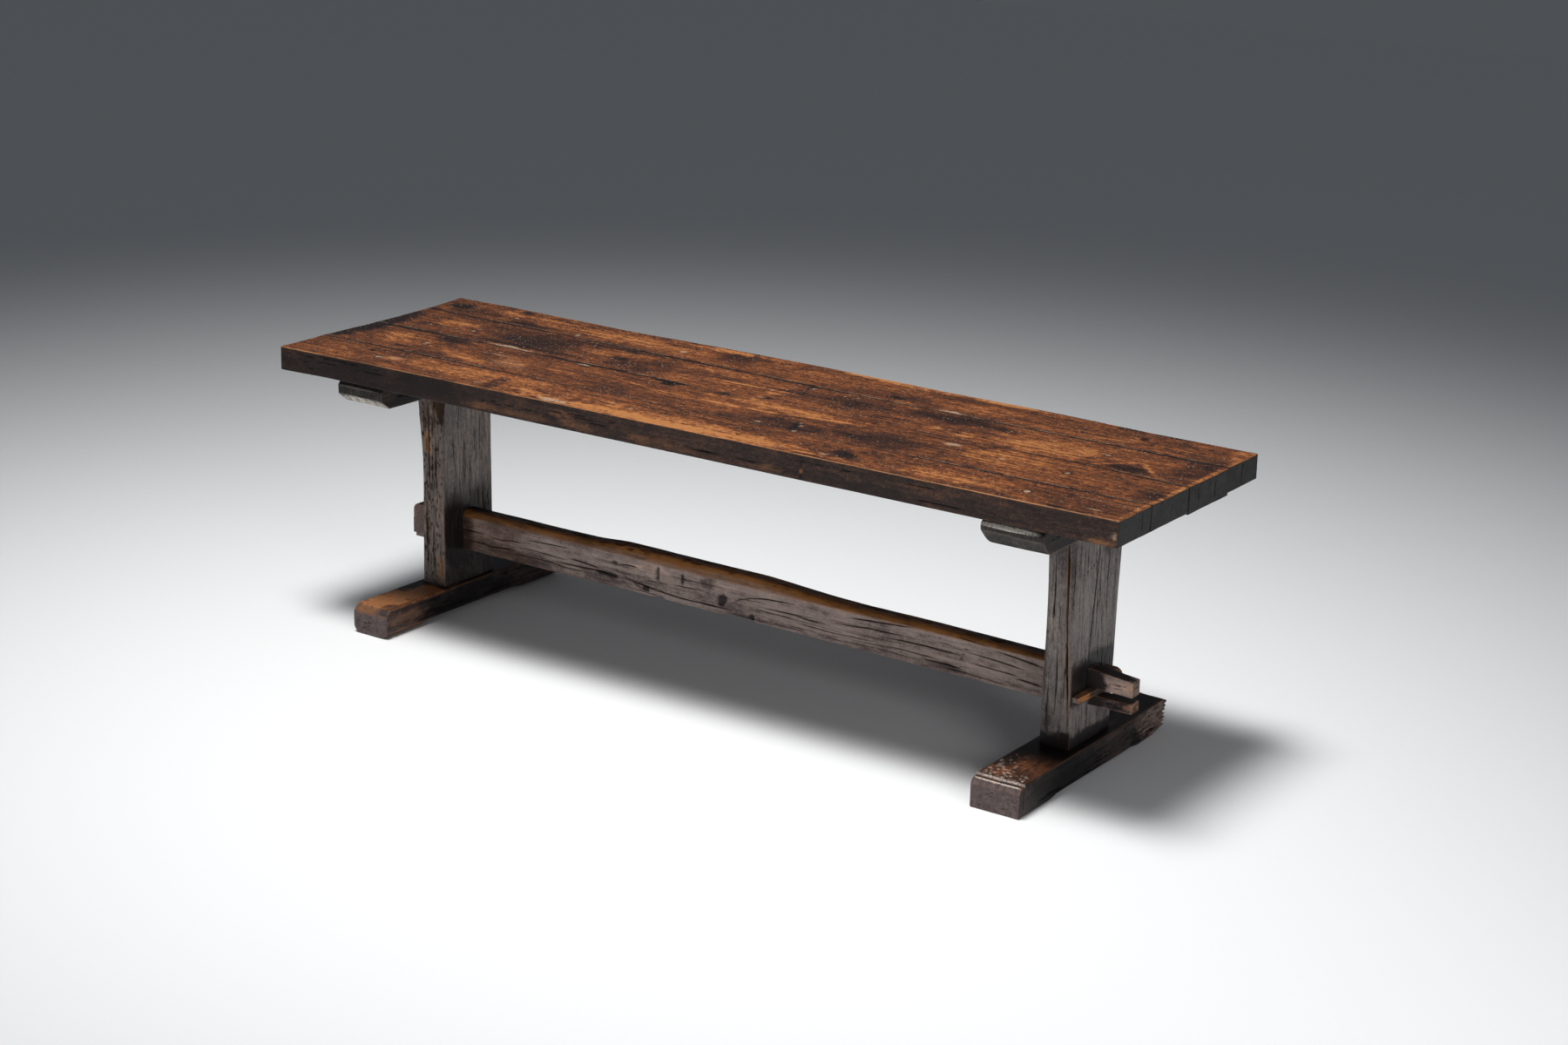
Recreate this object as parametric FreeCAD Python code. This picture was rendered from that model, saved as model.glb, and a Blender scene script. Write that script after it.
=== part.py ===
import FreeCAD, Part

import os

V = FreeCAD.Vector

# Sizes are in millimetres. X runs along the table, Y to the back, Z up from the floor.

# Table top
table_height = 750.0
top_length = 2510.0
top_thickness = 64.0
thick_board_extra = 4.0
outer_arris = 4.0
seam_arris = 1.6
housing_clearance = 1.0

# Lines of the top from front to back, at the left end and at the right end
front_edge_left = -354.0
front_edge_right = -355.0
front_seam_left = -186.0
front_seam_right = -196.0
middle_seam_left = 22.0
middle_seam_right = -10.0
rear_seam_left = 246.0
rear_seam_right = 192.0
rear_edge_left = 369.5
rear_edge_right = 353.0

# How far the boards have cupped and risen from flat
middle_seam_dip_left = 3.0
rear_seam_rise_left = 4.0
rear_seam_rise_middle = 3.0
rear_edge_rise_left = 9.0
rear_edge_rise_middle = 10.0

# Wear in the front edge and the split at the right end
nick_depth = 6.0
small_nick_x = 160.0
small_nick_radius = 45.0
middle_nick_x = 494.0
middle_nick_radius = 30.0
long_nick_x = 1118.0
long_nick_radius = 130.0
split_y = -241.0
split_length = 165.0
split_width = 3.0
split_depth = 34.0

# Loose tongues between the boards
tongue_length = 90.0
tongue_width = 56.0
tongue_thickness = 14.0
tongues_per_seam = 4

# Trestles, each placed from its own end of the top
right_trestle_inset = 266.0
left_trestle_inset = 307.0
trestle_setback = 3.0

# Pegs that hold the boards to the bearers
peg_diameter = 16.0
peg_depth_in_bearer = 46.0
peg_recess = 0.6
right_peg_offset = 7.0
left_peg_offset = 26.0
front_peg_y = -280.0
mid_front_peg_y = -92.0
mid_rear_peg_y = 104.0
rear_peg_y = 288.0

# Bearers under the top
bearer_depth = 64.0
bearer_half_length = 338.0
bearer_flat_half_length = 304.0
bearer_top_chamfer = 14.0
bearer_crown_drop = 16.0
right_bearer_offset = 7.0
right_bearer_width = 168.0
right_bearer_nose = 14.0
right_bearer_bulge = 7.0
left_bearer_offset = 39.0
left_bearer_width = 155.0
left_bearer_nose = 23.0
left_bearer_bulge = 2.5

# Posts, wider at the bearer and slightly waisted
post_waist_height = 430.0
right_post_bottom_thickness = 82.0
right_post_bottom_near = -97.0
right_post_bottom_far = 102.0
right_post_waist_shift = 0.5
right_post_waist_thickness = 73.0
right_post_waist_near = -101.0
right_post_waist_far = 116.0
right_post_top_shift = -3.0
right_post_top_thickness = 76.0
right_post_top_near = -104.0
right_post_top_far = 130.0
left_post_bottom_thickness = 82.0
left_post_bottom_near = -97.0
left_post_bottom_far = 103.0
left_post_waist_shift = 1.5
left_post_waist_thickness = 73.0
left_post_waist_near = -99.0
left_post_waist_far = 101.0
left_post_top_shift = -9.0
left_post_top_thickness = 86.0
left_post_top_near = -103.0
left_post_top_far = 104.0
left_post_chamfer = 38.0
left_post_chamfer_length = 85.0

# Tenons of the posts
post_tenon_thickness = 42.0
foot_tenon_width = 130.0
bearer_tenon_width = 150.0
tenon_wedge_offset = 40.0
tenon_wedge_length = 46.0
tenon_wedge_thick_end = 7.0
tenon_wedge_thin_end = 2.0

# Feet
foot_height = 80.0
foot_hollow = 6.0
foot_pad_length = 150.0
foot_hollow_ramp = 30.0
foot_groove_inset = 16.0
foot_groove_width = 5.0
foot_groove_depth = 3.0
foot_end_face = 60.0
right_foot_width = 131.0
right_foot_front = -369.5
right_foot_back = 364.0
right_foot_arris = 5.0
right_foot_quirk = 3.0
right_foot_bead = 12.0
right_foot_bead_top = 73.0
right_foot_hollow_run = 11.0
left_foot_width = 120.0
left_foot_front = -357.5
left_foot_back = 369.5
left_foot_arris = 13.0
left_foot_bevel = 18.0

# Stretcher
stretcher_thickness = 50.0
stretcher_bottom = 163.0
stretcher_far_top = 272.0
stretcher_near_top = 261.0
stretcher_wear = 14.0
stretcher_crown_drop = 1.0
stretcher_tilt = 4.0
stretcher_tenon_thickness = 38.0
stretcher_tenon_bottom = 171.0
stretcher_tenon_top = 263.0
right_tenon_reach = 117.0
right_tenon_taper = 12.0
left_tenon_reach = 101.0

# Fork in the stretcher's tenons
right_fork_floor = 198.0
left_fork_floor = 194.0
fork_height = 17.0
fork_end_height = 14.0
fork_start = 24.0
fork_parallel = 40.0

# Wedges in the forks
wedge_tip_reach = 98.0
wedge_tip_thickness = 16.0
wedge_tip_height = 14.0
wedge_root_thickness = 26.0
wedge_play = 0.3
wedge_head_gap = 3.0
wedge_scribed_depth = 12.0
wedge_head_lift = 14.0
wedge_tongue_setback = 15.0
wedge_head_thickness = 49.0
wedge_head_round = 14.0
right_wedge_head_length = 41.0
right_wedge_head_height = 54.0
left_wedge_head_length = 64.0
left_wedge_head_height = 100.0

# Allowances of the cuts
cut_margin = 1.0
housing_overrun = 60.0
same_place = 0.1

# Sizes that follow from those above
top_underside = table_height - top_thickness
bearer_underside = top_underside - bearer_depth
half_top = top_length / 2.0
half_tenon = post_tenon_thickness / 2.0
tongue_spacing = top_length / tongues_per_seam
right_post_bottom_x = half_top - right_trestle_inset
right_post_waist_x = right_post_bottom_x + right_post_waist_shift
right_post_top_x = right_post_bottom_x + right_post_top_shift
right_bearer_x = right_post_bottom_x - right_bearer_offset
right_peg_x = right_post_bottom_x - right_peg_offset
left_post_bottom_x = left_trestle_inset - half_top
left_post_waist_x = left_post_bottom_x + left_post_waist_shift
left_post_top_x = left_post_bottom_x + left_post_top_shift
left_bearer_x = left_post_bottom_x - left_bearer_offset
left_peg_x = left_post_bottom_x - left_peg_offset


class TopLine:
    """One lengthwise line of the table top, its place and its rise above flat."""

    def __init__(self, left_y, right_y, left_rise=0.0, middle_rise=0.0):
        self.left_y = left_y
        self.right_y = right_y
        self.left_rise = left_rise
        self.middle_rise = middle_rise

    def y(self, x):
        share = (x + half_top) / top_length
        return self.left_y + (self.right_y - self.left_y) * share

    def z(self, x):
        share = abs(x) / half_top
        end_rise = self.left_rise if x < 0.0 else 0.0
        return table_height + self.middle_rise + (end_rise - self.middle_rise) * share


def box(x0, x1, y0, y1, z0, z1):
    return Part.makeBox(x1 - x0, y1 - y0, z1 - z0, V(x0, y0, z0))


def closed_wire(points):
    return Part.makePolygon(points + [points[0]])


def prism(points, travel):
    return Part.Face(closed_wire(points)).extrude(travel)


def side_face(a, b, c, d):
    """A flat face through four points, or a ruled one where they are twisted."""
    out_of_plane = abs((b - a).cross(c - a).dot(d - a))
    if out_of_plane < 1e-3:
        return Part.Face(closed_wire([a, b, c, d]))
    return Part.makeRuledSurface(Part.makeLine(a, b), Part.makeLine(d, c))


def ruled_loft(sections):
    """A solid through sections with the same number of corners."""
    faces = [Part.Face(closed_wire(sections[0])), Part.Face(closed_wire(sections[-1]))]
    for first, second in zip(sections, sections[1:]):
        for i in range(len(first)):
            faces.append(side_face(first[i - 1], first[i], second[i], second[i - 1]))
    shell = Part.makeShell(faces)
    shell.sewShape()
    solid = Part.makeSolid(shell)
    if solid.Volume < 0.0:
        solid.reverse()
    return solid


def rectangle_at_z(x, y, z, size_x, size_y):
    half_x = size_x / 2.0
    half_y = size_y / 2.0
    corners = ((-1, -1), (1, -1), (1, 1), (-1, 1))
    return [V(x + half_x * i, y + half_y * j, z) for i, j in corners]


def save(node, solids):
    shape = solids[0] if len(solids) == 1 else Part.makeCompound(solids)
    shape.exportStep("parts/" + node + ".step")


def clean(shape):
    return shape.removeSplitter().Solids[0]


def rounded(solid, radius, wanted):
    """Rounds the straight edges for which wanted(start, end) is true."""
    edges = []
    for edge in solid.Edges:
        ends = [vertex.Point for vertex in edge.Vertexes]
        if len(ends) == 2 and wanted(ends[0], ends[1]):
            edges.append(edge)
    return solid.makeFillet(radius, edges)


# Table top
def board_section(x, front, rear, front_arris, rear_arris, underside):
    front_y = front.y(x)
    rear_y = rear.y(x)
    front_z = front.z(x)
    rear_z = rear.z(x)
    outline = [(front_y, underside), (rear_y, underside),
               (rear_y, rear_z - rear_arris), (rear_y - rear_arris, rear_z),
               (front_y + front_arris, front_z), (front_y, front_z - front_arris)]
    return [V(x, y, z) for y, z in outline]


def board(front, rear, front_arris, rear_arris, underside):
    stations = (-half_top, 0.0, half_top)
    return ruled_loft([
        board_section(x, front, rear, front_arris, rear_arris, underside) for x in stations])


def edge_nick(x, radius):
    """A shallow dish out of the front arris."""
    offset = (radius - nick_depth) / 2.0 ** 0.5
    arris_y = front_edge.y(x) + outer_arris / 2.0
    arris_z = table_height - outer_arris / 2.0
    return Part.makeSphere(radius, V(x, arris_y - offset, arris_z + offset))


def end_split():
    """A wedge-shaped split that opens towards the right end."""
    half = split_width / 2.0
    above = table_height + cut_margin
    past_end = half_top + cut_margin
    outline = [V(half_top - split_length, split_y, above), V(past_end, split_y - half, above),
               V(past_end, split_y + half, above)]
    return prism(outline, V(0, 0, -split_depth - cut_margin))


def seam_tongues(seam):
    first = -tongue_spacing * (tongues_per_seam - 1) / 2.0
    middle_z = top_underside + top_thickness / 2.0
    tongues = []
    for index in range(tongues_per_seam):
        x = first + index * tongue_spacing
        y = seam.y(x)
        tongues.append(box(x - tongue_length / 2.0, x + tongue_length / 2.0,
                           y - tongue_width / 2.0, y + tongue_width / 2.0,
                           middle_z - tongue_thickness / 2.0, middle_z + tongue_thickness / 2.0))
    return tongues


def surface_height(x, y):
    """Height of the worn top at a point, between the two nearest lines."""
    for front, rear in zip(top_lines, top_lines[1:]):
        if y <= rear.y(x):
            share = (y - front.y(x)) / (rear.y(x) - front.y(x))
            return front.z(x) + (rear.z(x) - front.z(x)) * share
    return table_height


def top_peg(x, y):
    bottom = top_underside - peg_depth_in_bearer
    head = surface_height(x, y) - peg_recess
    return Part.makeCylinder(peg_diameter / 2.0, head - bottom, V(x, y, bottom))


def top_pegs(x):
    return [top_peg(x, y) for y in (front_peg_y, mid_front_peg_y, mid_rear_peg_y, rear_peg_y)]


# Bearers
def bearer_end(side, nose, bulge):
    """Edges of one bearer end in the YZ plane, from the flat top round to the flat underside."""
    tip_y = side * bearer_half_length
    flat_y = side * bearer_flat_half_length
    tip_top = top_underside - bearer_crown_drop
    tip_low = tip_top - nose
    mid_y = (tip_y + flat_y) / 2.0 + side * bulge
    mid_z = (tip_low + bearer_underside) / 2.0 - bulge
    start = V(0, side * (bearer_half_length - bearer_top_chamfer), top_underside)
    upper = V(0, tip_y, tip_top)
    lower = V(0, tip_y, tip_low)
    finish = V(0, flat_y, bearer_underside)
    curve = Part.Arc(lower, V(0, mid_y, mid_z), finish).toShape()
    return start, finish, [Part.makeLine(start, upper), Part.makeLine(upper, lower), curve]


def bearer(x, width, nose, bulge):
    front_top, front_low, front_edges = bearer_end(-1, nose, bulge)
    rear_top, rear_low, rear_edges = bearer_end(1, nose, bulge)
    edges = front_edges + [Part.makeLine(front_low, rear_low)] + rear_edges
    edges.append(Part.makeLine(rear_top, front_top))
    outline = Part.Wire(Part.__sortEdges__(edges))
    solid = Part.Face(outline).extrude(V(width, 0, 0))
    solid.translate(V(x - width / 2.0, 0, 0))
    return solid


# Posts
def post_level(x, thickness, near, far, z):
    return rectangle_at_z(x, (near + far) / 2.0, z, thickness, far - near)


def lower_face_x(bottom_x, waist_x, z):
    """Place of a post's face on its straight run between the foot and the waist."""
    share = (z - foot_height) / (post_waist_height - foot_height)
    return bottom_x + (waist_x - bottom_x) * share


def foot_tenon(x):
    half = foot_tenon_width / 2.0
    return box(x - half_tenon, x + half_tenon, trestle_setback - half, trestle_setback + half,
               foot_hollow, foot_height)


def bearer_tenon(x):
    half = bearer_tenon_width / 2.0
    return box(x - half_tenon, x + half_tenon, trestle_setback - half, trestle_setback + half,
               bearer_underside, top_underside)


def tenon_wedges(x, driven_end, direction):
    """Two thin wedges across a tenon, thick at the driven end."""
    thick = tenon_wedge_thick_end / 2.0
    thin = tenon_wedge_thin_end / 2.0
    inner_end = driven_end + direction * tenon_wedge_length
    wedges = []
    for side in (-1, 1):
        y = trestle_setback + side * tenon_wedge_offset
        outline = [V(x - half_tenon, y - thick, driven_end), V(x - half_tenon, y + thick, driven_end),
                   V(x - half_tenon, y + thin, inner_end), V(x - half_tenon, y - thin, inner_end)]
        wedges.append(prism(outline, V(post_tenon_thickness, 0, 0)))
    return wedges


def stopped_chamfer():
    """A chamfer on the left post's near inner arris that dies out downwards."""
    share = left_post_chamfer_length / (bearer_underside - post_waist_height)
    inner_top = left_post_top_x + left_post_top_thickness / 2.0
    inner_waist = left_post_waist_x + left_post_waist_thickness / 2.0
    corner = V(inner_top, left_post_top_near, bearer_underside)
    waist_corner = V(inner_waist, left_post_waist_near, post_waist_height)
    foot_point = corner + (waist_corner - corner) * share
    along_x = corner - V(left_post_chamfer, 0, 0)
    along_y = corner + V(0, left_post_chamfer / 2.0, 0)
    faces = [Part.Face(closed_wire(points)) for points in (
        [corner, along_x, along_y], [foot_point, corner, along_x],
        [foot_point, corner, along_y], [foot_point, along_x, along_y])]
    return Part.makeSolid(Part.makeShell(faces))


# Feet
def foot_blank(x, width, front, back):
    """The foot as a sawn length with a scribed groove inside each top arris."""
    half = width / 2.0
    groove = half - foot_groove_inset
    half_groove = foot_groove_width / 2.0
    groove_floor = foot_height - foot_groove_depth
    right_side = [(half, 0), (half, foot_height), (groove + half_groove, foot_height),
                  (groove, groove_floor), (groove - half_groove, foot_height)]
    left_side = [(-offset, z) for offset, z in reversed(right_side)]
    return prism([V(x + offset, front, z) for offset, z in right_side + left_side], V(0, back - front, 0))


def outer_edges(x, width, z):
    """Picks the long outer edges of a foot at one height."""
    def wanted(start, end):
        along = abs(start.y - end.y) > width
        at_height = max(abs(start.z - z), abs(end.z - z)) < same_place
        return along and at_height and abs(start.x - x) > width / 2.0 - same_place

    return wanted


def underside_hollow(x, width, front, back):
    start = front + foot_pad_length
    finish = back - foot_pad_length
    outline = [(start, -cut_margin), (start, 0.0), (start + foot_hollow_ramp, foot_hollow),
               (finish - foot_hollow_ramp, foot_hollow), (finish, 0.0), (finish, -cut_margin)]
    points = [V(x - width, y, z) for y, z in outline]
    return prism(points, V(2.0 * width, 0, 0))


def end_bevel(x, width, end, inward):
    """Waste above the slanting end of the left foot."""
    outside = end - inward * cut_margin
    bevel_end = end + inward * left_foot_bevel
    above = foot_height + cut_margin
    outline = [(outside, foot_end_face), (end, foot_end_face), (bevel_end, foot_height),
               (bevel_end, above), (outside, above)]
    return prism([V(x - width, y, z) for y, z in outline], V(2.0 * width, 0, 0))


def end_moulding(x, width, end):
    """Waste above the quirk, bead and hollow worked across the near end of the right foot."""
    bead_start = end + right_foot_quirk
    bead_end = bead_start + right_foot_bead
    hollow_end = bead_end + right_foot_hollow_run
    rise = right_foot_bead_top - foot_end_face
    root = 0.5 ** 0.5
    outside = end - cut_margin
    above = foot_height + cut_margin
    outline = [(outside, foot_end_face), (bead_start, foot_end_face), (bead_end, right_foot_bead_top),
               (hollow_end, foot_height), (hollow_end, above), (outside, above)]
    corners = [V(0, y, z) for y, z in outline]
    bead_middle = V(0, bead_end - right_foot_bead * root, foot_end_face + rise * root)
    hollow_middle = V(0, bead_end + right_foot_hollow_run * root,
                      foot_height - (foot_height - right_foot_bead_top) * root)
    edges = [Part.makeLine(corners[0], corners[1]), Part.Arc(corners[1], bead_middle, corners[2]).toShape(),
             Part.Arc(corners[2], hollow_middle, corners[3]).toShape()]
    edges += [Part.makeLine(corners[i], corners[i + 1]) for i in (3, 4)]
    edges.append(Part.makeLine(corners[5], corners[0]))
    solid = Part.Face(Part.Wire(edges)).extrude(V(2.0 * width, 0, 0))
    solid.translate(V(x - width, 0, 0))
    return solid


# Stretcher
def tilt_at(x):
    return -stretcher_tilt * x / half_top


def stretcher_section(x):
    near = trestle_setback - stretcher_thickness / 2.0
    far = trestle_setback + stretcher_thickness / 2.0
    lift = tilt_at(x)
    outline = [(near, stretcher_bottom), (far, stretcher_bottom), (far, stretcher_far_top),
               (near + stretcher_wear, stretcher_far_top - stretcher_crown_drop),
               (near, stretcher_near_top)]
    return [V(x, y, z + lift) for y, z in outline]


def tenon_bar(start_x, end_x):
    half = stretcher_tenon_thickness / 2.0
    return box(start_x, end_x, trestle_setback - half, trestle_setback + half,
               stretcher_tenon_bottom, stretcher_tenon_top)


def tenon_taper(outer_x, end_x):
    """Waste above the right tenon, which falls towards its end."""
    past_x = end_x + cut_margin
    low = stretcher_tenon_top - right_tenon_taper
    above = stretcher_tenon_top + cut_margin
    outline = [(outer_x, stretcher_tenon_top), (end_x, low), (past_x, low), (past_x, above),
               (outer_x, above)]
    near = trestle_setback - stretcher_thickness
    return prism([V(x, near, z) for x, z in outline], V(0, 2.0 * stretcher_thickness, 0))


def fork_slot(outer_x, end_x, side, floor):
    """The slot that opens at the tenon's end, parallel by the post and closing a little outwards."""
    inner_x = outer_x - side * fork_start
    bend_x = outer_x + side * fork_parallel
    past_x = end_x + side * cut_margin
    outline = [(inner_x, floor), (past_x, floor), (past_x, floor + fork_end_height),
               (bend_x, floor + fork_height), (inner_x, floor + fork_height)]
    near = trestle_setback - stretcher_thickness
    return prism([V(x, near, z) for x, z in outline], V(0, 2.0 * stretcher_thickness, 0))


# Wedges
def fork_wedge(outer_x, side, head_side, floor, head_length, head_height, post):
    """A tapered tongue with an upstanding head, seated on the lower prong beside the post."""
    inside = outer_x - side * wedge_scribed_depth
    head_outer = outer_x + side * wedge_head_thickness
    root_y = trestle_setback + head_side * (stretcher_tenon_thickness / 2.0 + wedge_head_gap)
    tip_y = trestle_setback - head_side * wedge_tip_reach
    head_y = root_y + head_side * head_length
    tongue_end_y = head_y - head_side * wedge_tongue_setback
    root_height = fork_height - wedge_play
    head_top = floor + head_height

    def tongue_section(y, thickness, height):
        outer = outer_x + side * thickness
        corners = ((inside, floor), (outer, floor), (outer, floor + height), (inside, floor + height))
        return [V(x, y, z) for x, z in corners]

    def outer_top(start, end):
        at_top = min(start.z, end.z) > head_top - same_place
        return at_top and abs((start.x + end.x) / 2.0 - head_outer) < same_place

    tongue = ruled_loft([tongue_section(tip_y, wedge_tip_thickness, wedge_tip_height),
                         tongue_section(root_y, wedge_root_thickness, root_height),
                         tongue_section(tongue_end_y, wedge_root_thickness, root_height)])
    head = box(min(inside, head_outer), max(inside, head_outer), min(root_y, head_y), max(root_y, head_y),
               floor + wedge_head_lift, head_top)
    head = rounded(head, wedge_head_round, outer_top)
    return clean(tongue.fuse(head).cut(post))


os.makedirs("parts", exist_ok=True)

front_edge = TopLine(front_edge_left, front_edge_right)
front_seam = TopLine(front_seam_left, front_seam_right)
middle_seam = TopLine(middle_seam_left, middle_seam_right, -middle_seam_dip_left)
rear_seam = TopLine(rear_seam_left, rear_seam_right, rear_seam_rise_left, rear_seam_rise_middle)
rear_edge = TopLine(rear_edge_left, rear_edge_right, rear_edge_rise_left, rear_edge_rise_middle)
top_lines = [front_edge, front_seam, middle_seam, rear_seam, rear_edge]

# Posts, before the stretcher's mortises
right_post = ruled_loft([
    post_level(right_post_bottom_x, right_post_bottom_thickness,
               right_post_bottom_near, right_post_bottom_far, foot_height),
    post_level(right_post_waist_x, right_post_waist_thickness,
               right_post_waist_near, right_post_waist_far, post_waist_height),
    post_level(right_post_top_x, right_post_top_thickness,
               right_post_top_near, right_post_top_far, bearer_underside)])
left_post = ruled_loft([
    post_level(left_post_bottom_x, left_post_bottom_thickness,
               left_post_bottom_near, left_post_bottom_far, foot_height),
    post_level(left_post_waist_x, left_post_waist_thickness,
               left_post_waist_near, left_post_waist_far, post_waist_height),
    post_level(left_post_top_x, left_post_top_thickness,
               left_post_top_near, left_post_top_far, bearer_underside)])

# Outer faces of the posts at the height of the forks
right_outer = lower_face_x(right_post_bottom_x + right_post_bottom_thickness / 2.0,
                           right_post_waist_x + right_post_waist_thickness / 2.0, right_fork_floor)
left_outer = lower_face_x(left_post_bottom_x - left_post_bottom_thickness / 2.0,
                          left_post_waist_x - left_post_waist_thickness / 2.0, left_fork_floor)
right_tenon_end = right_outer + right_tenon_reach
left_tenon_end = left_outer - left_tenon_reach

# Wedges, made against the bare posts
right_wedge = fork_wedge(right_outer, 1, 1, right_fork_floor,
                         right_wedge_head_length, right_wedge_head_height, right_post)
left_wedge = fork_wedge(left_outer, -1, -1, left_fork_floor,
                        left_wedge_head_length, left_wedge_head_height, left_post)

# Stretcher with shoulders cut to the lean of the posts
beam = ruled_loft([stretcher_section(left_post_bottom_x), stretcher_section(right_post_bottom_x)])
tenon = tenon_bar(left_tenon_end, right_tenon_end)
stretcher = beam.cut(right_post).cut(left_post).fuse(tenon)
stretcher = stretcher.cut([tenon_taper(right_outer, right_tenon_end),
                           fork_slot(right_outer, right_tenon_end, 1, right_fork_floor),
                           fork_slot(left_outer, left_tenon_end, -1, left_fork_floor)])
stretcher = clean(stretcher)

# Wedges through the posts' own tenons
right_foot_wedges = tenon_wedges(right_post_bottom_x, foot_hollow, 1)
left_foot_wedges = tenon_wedges(left_post_bottom_x, foot_hollow, 1)
right_bearer_wedges = tenon_wedges(right_post_top_x, top_underside, -1)
left_bearer_wedges = tenon_wedges(left_post_top_x, top_underside, -1)

right_post = right_post.cut(tenon).fuse([foot_tenon(right_post_bottom_x), bearer_tenon(right_post_top_x)])
right_post = clean(right_post.cut(right_foot_wedges + right_bearer_wedges))
left_post = left_post.cut(tenon).cut(stopped_chamfer())
left_post = left_post.fuse([foot_tenon(left_post_bottom_x), bearer_tenon(left_post_top_x)])
left_post = clean(left_post.cut(left_foot_wedges + left_bearer_wedges))

# Feet
right_foot = foot_blank(right_post_bottom_x, right_foot_width, right_foot_front, right_foot_back)
right_foot = rounded(right_foot, right_foot_arris,
                     outer_edges(right_post_bottom_x, right_foot_width, foot_height))
right_foot = clean(right_foot.cut([
    underside_hollow(right_post_bottom_x, right_foot_width, right_foot_front, right_foot_back),
    end_moulding(right_post_bottom_x, right_foot_width, right_foot_front),
    foot_tenon(right_post_bottom_x)]))
left_foot = foot_blank(left_post_bottom_x, left_foot_width, left_foot_front, left_foot_back)
left_foot = rounded(left_foot, left_foot_arris,
                    outer_edges(left_post_bottom_x, left_foot_width, 0.0))
left_foot = clean(left_foot.cut([
    underside_hollow(left_post_bottom_x, left_foot_width, left_foot_front, left_foot_back),
    end_bevel(left_post_bottom_x, left_foot_width, left_foot_front, 1),
    end_bevel(left_post_bottom_x, left_foot_width, left_foot_back, -1),
    foot_tenon(left_post_bottom_x)]))

# Bearers and the pegs through the boards
right_pegs = top_pegs(right_peg_x)
left_pegs = top_pegs(left_peg_x)
right_bearer = bearer(right_bearer_x, right_bearer_width, right_bearer_nose, right_bearer_bulge)
right_bearer = clean(right_bearer.cut([bearer_tenon(right_post_top_x)] + right_pegs))
left_bearer = bearer(left_bearer_x, left_bearer_width, left_bearer_nose, left_bearer_bulge)
left_bearer = clean(left_bearer.cut([bearer_tenon(left_post_top_x)] + left_pegs))

# Boards
front_tongues = seam_tongues(front_seam)
middle_tongues = seam_tongues(middle_seam)
rear_tongues = seam_tongues(rear_seam)
all_pegs = right_pegs + left_pegs
nicks = [edge_nick(small_nick_x, small_nick_radius), edge_nick(middle_nick_x, middle_nick_radius),
         edge_nick(long_nick_x, long_nick_radius)]
housings = []
for bearer_x, bearer_width in ((right_bearer_x, right_bearer_width), (left_bearer_x, left_bearer_width)):
    half = bearer_width / 2.0 + housing_clearance
    housings.append(box(bearer_x - half, bearer_x + half, middle_seam_right - housing_overrun,
                        rear_seam_left + housing_overrun, top_underside - thick_board_extra, top_underside))
front_board = board(front_edge, front_seam, outer_arris, seam_arris, top_underside)
front_board = clean(front_board.cut(front_tongues + all_pegs + nicks + [end_split()]))
mid_front_board = board(front_seam, middle_seam, seam_arris, seam_arris, top_underside)
mid_front_board = clean(mid_front_board.cut(front_tongues + middle_tongues + all_pegs))
mid_rear_board = board(middle_seam, rear_seam, seam_arris, seam_arris, top_underside - thick_board_extra)
mid_rear_board = clean(mid_rear_board.cut(middle_tongues + rear_tongues + all_pegs + housings))
rear_board = board(rear_seam, rear_edge, seam_arris, outer_arris, top_underside)
rear_board = clean(rear_board.cut(rear_tongues + all_pegs))

save("top_board_front", [front_board])
save("top_board_mid_front", [mid_front_board])
save("top_board_mid_rear", [mid_rear_board])
save("top_board_rear", [rear_board])
save("front_seam_tongues", front_tongues)
save("middle_seam_tongues", middle_tongues)
save("rear_seam_tongues", rear_tongues)
save("right_top_pegs", right_pegs)
save("left_top_pegs", left_pegs)
save("right_bearer", [right_bearer])
save("left_bearer", [left_bearer])
save("right_post", [right_post])
save("left_post", [left_post])
save("right_foot", [right_foot])
save("left_foot", [left_foot])
save("right_foot_tenon_wedges", right_foot_wedges)
save("left_foot_tenon_wedges", left_foot_wedges)
save("right_bearer_tenon_wedges", right_bearer_wedges)
save("left_bearer_tenon_wedges", left_bearer_wedges)
save("stretcher", [stretcher])
save("right_wedge", [right_wedge])
save("left_wedge", [left_wedge])
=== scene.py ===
"""A farmhouse trestle table of old waxed oak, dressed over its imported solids.

Shapes are worked out in millimetres in the frame of the solids, and the meshes are written in metres.
"""
import logging
import math
from dataclasses import dataclass, field
from enum import Enum

import bpy
import numpy as np
from mathutils import Matrix, Vector


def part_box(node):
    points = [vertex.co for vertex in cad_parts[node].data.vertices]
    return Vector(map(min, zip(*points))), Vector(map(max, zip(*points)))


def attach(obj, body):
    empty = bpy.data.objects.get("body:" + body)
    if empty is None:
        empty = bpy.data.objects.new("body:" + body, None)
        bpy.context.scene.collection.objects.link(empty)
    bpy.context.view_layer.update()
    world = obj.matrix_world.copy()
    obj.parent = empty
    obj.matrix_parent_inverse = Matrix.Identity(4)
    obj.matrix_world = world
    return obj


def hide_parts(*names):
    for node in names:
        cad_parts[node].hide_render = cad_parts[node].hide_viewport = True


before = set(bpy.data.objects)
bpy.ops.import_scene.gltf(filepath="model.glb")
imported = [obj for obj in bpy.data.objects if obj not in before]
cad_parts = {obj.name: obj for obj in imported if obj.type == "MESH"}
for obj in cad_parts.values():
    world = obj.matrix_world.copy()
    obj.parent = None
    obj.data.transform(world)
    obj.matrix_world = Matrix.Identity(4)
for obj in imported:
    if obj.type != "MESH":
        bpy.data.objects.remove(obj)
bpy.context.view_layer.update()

LOG = logging.getLogger("farmhouse_table")
MM = 0.001
FRAME_BODY = "frame"
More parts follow.
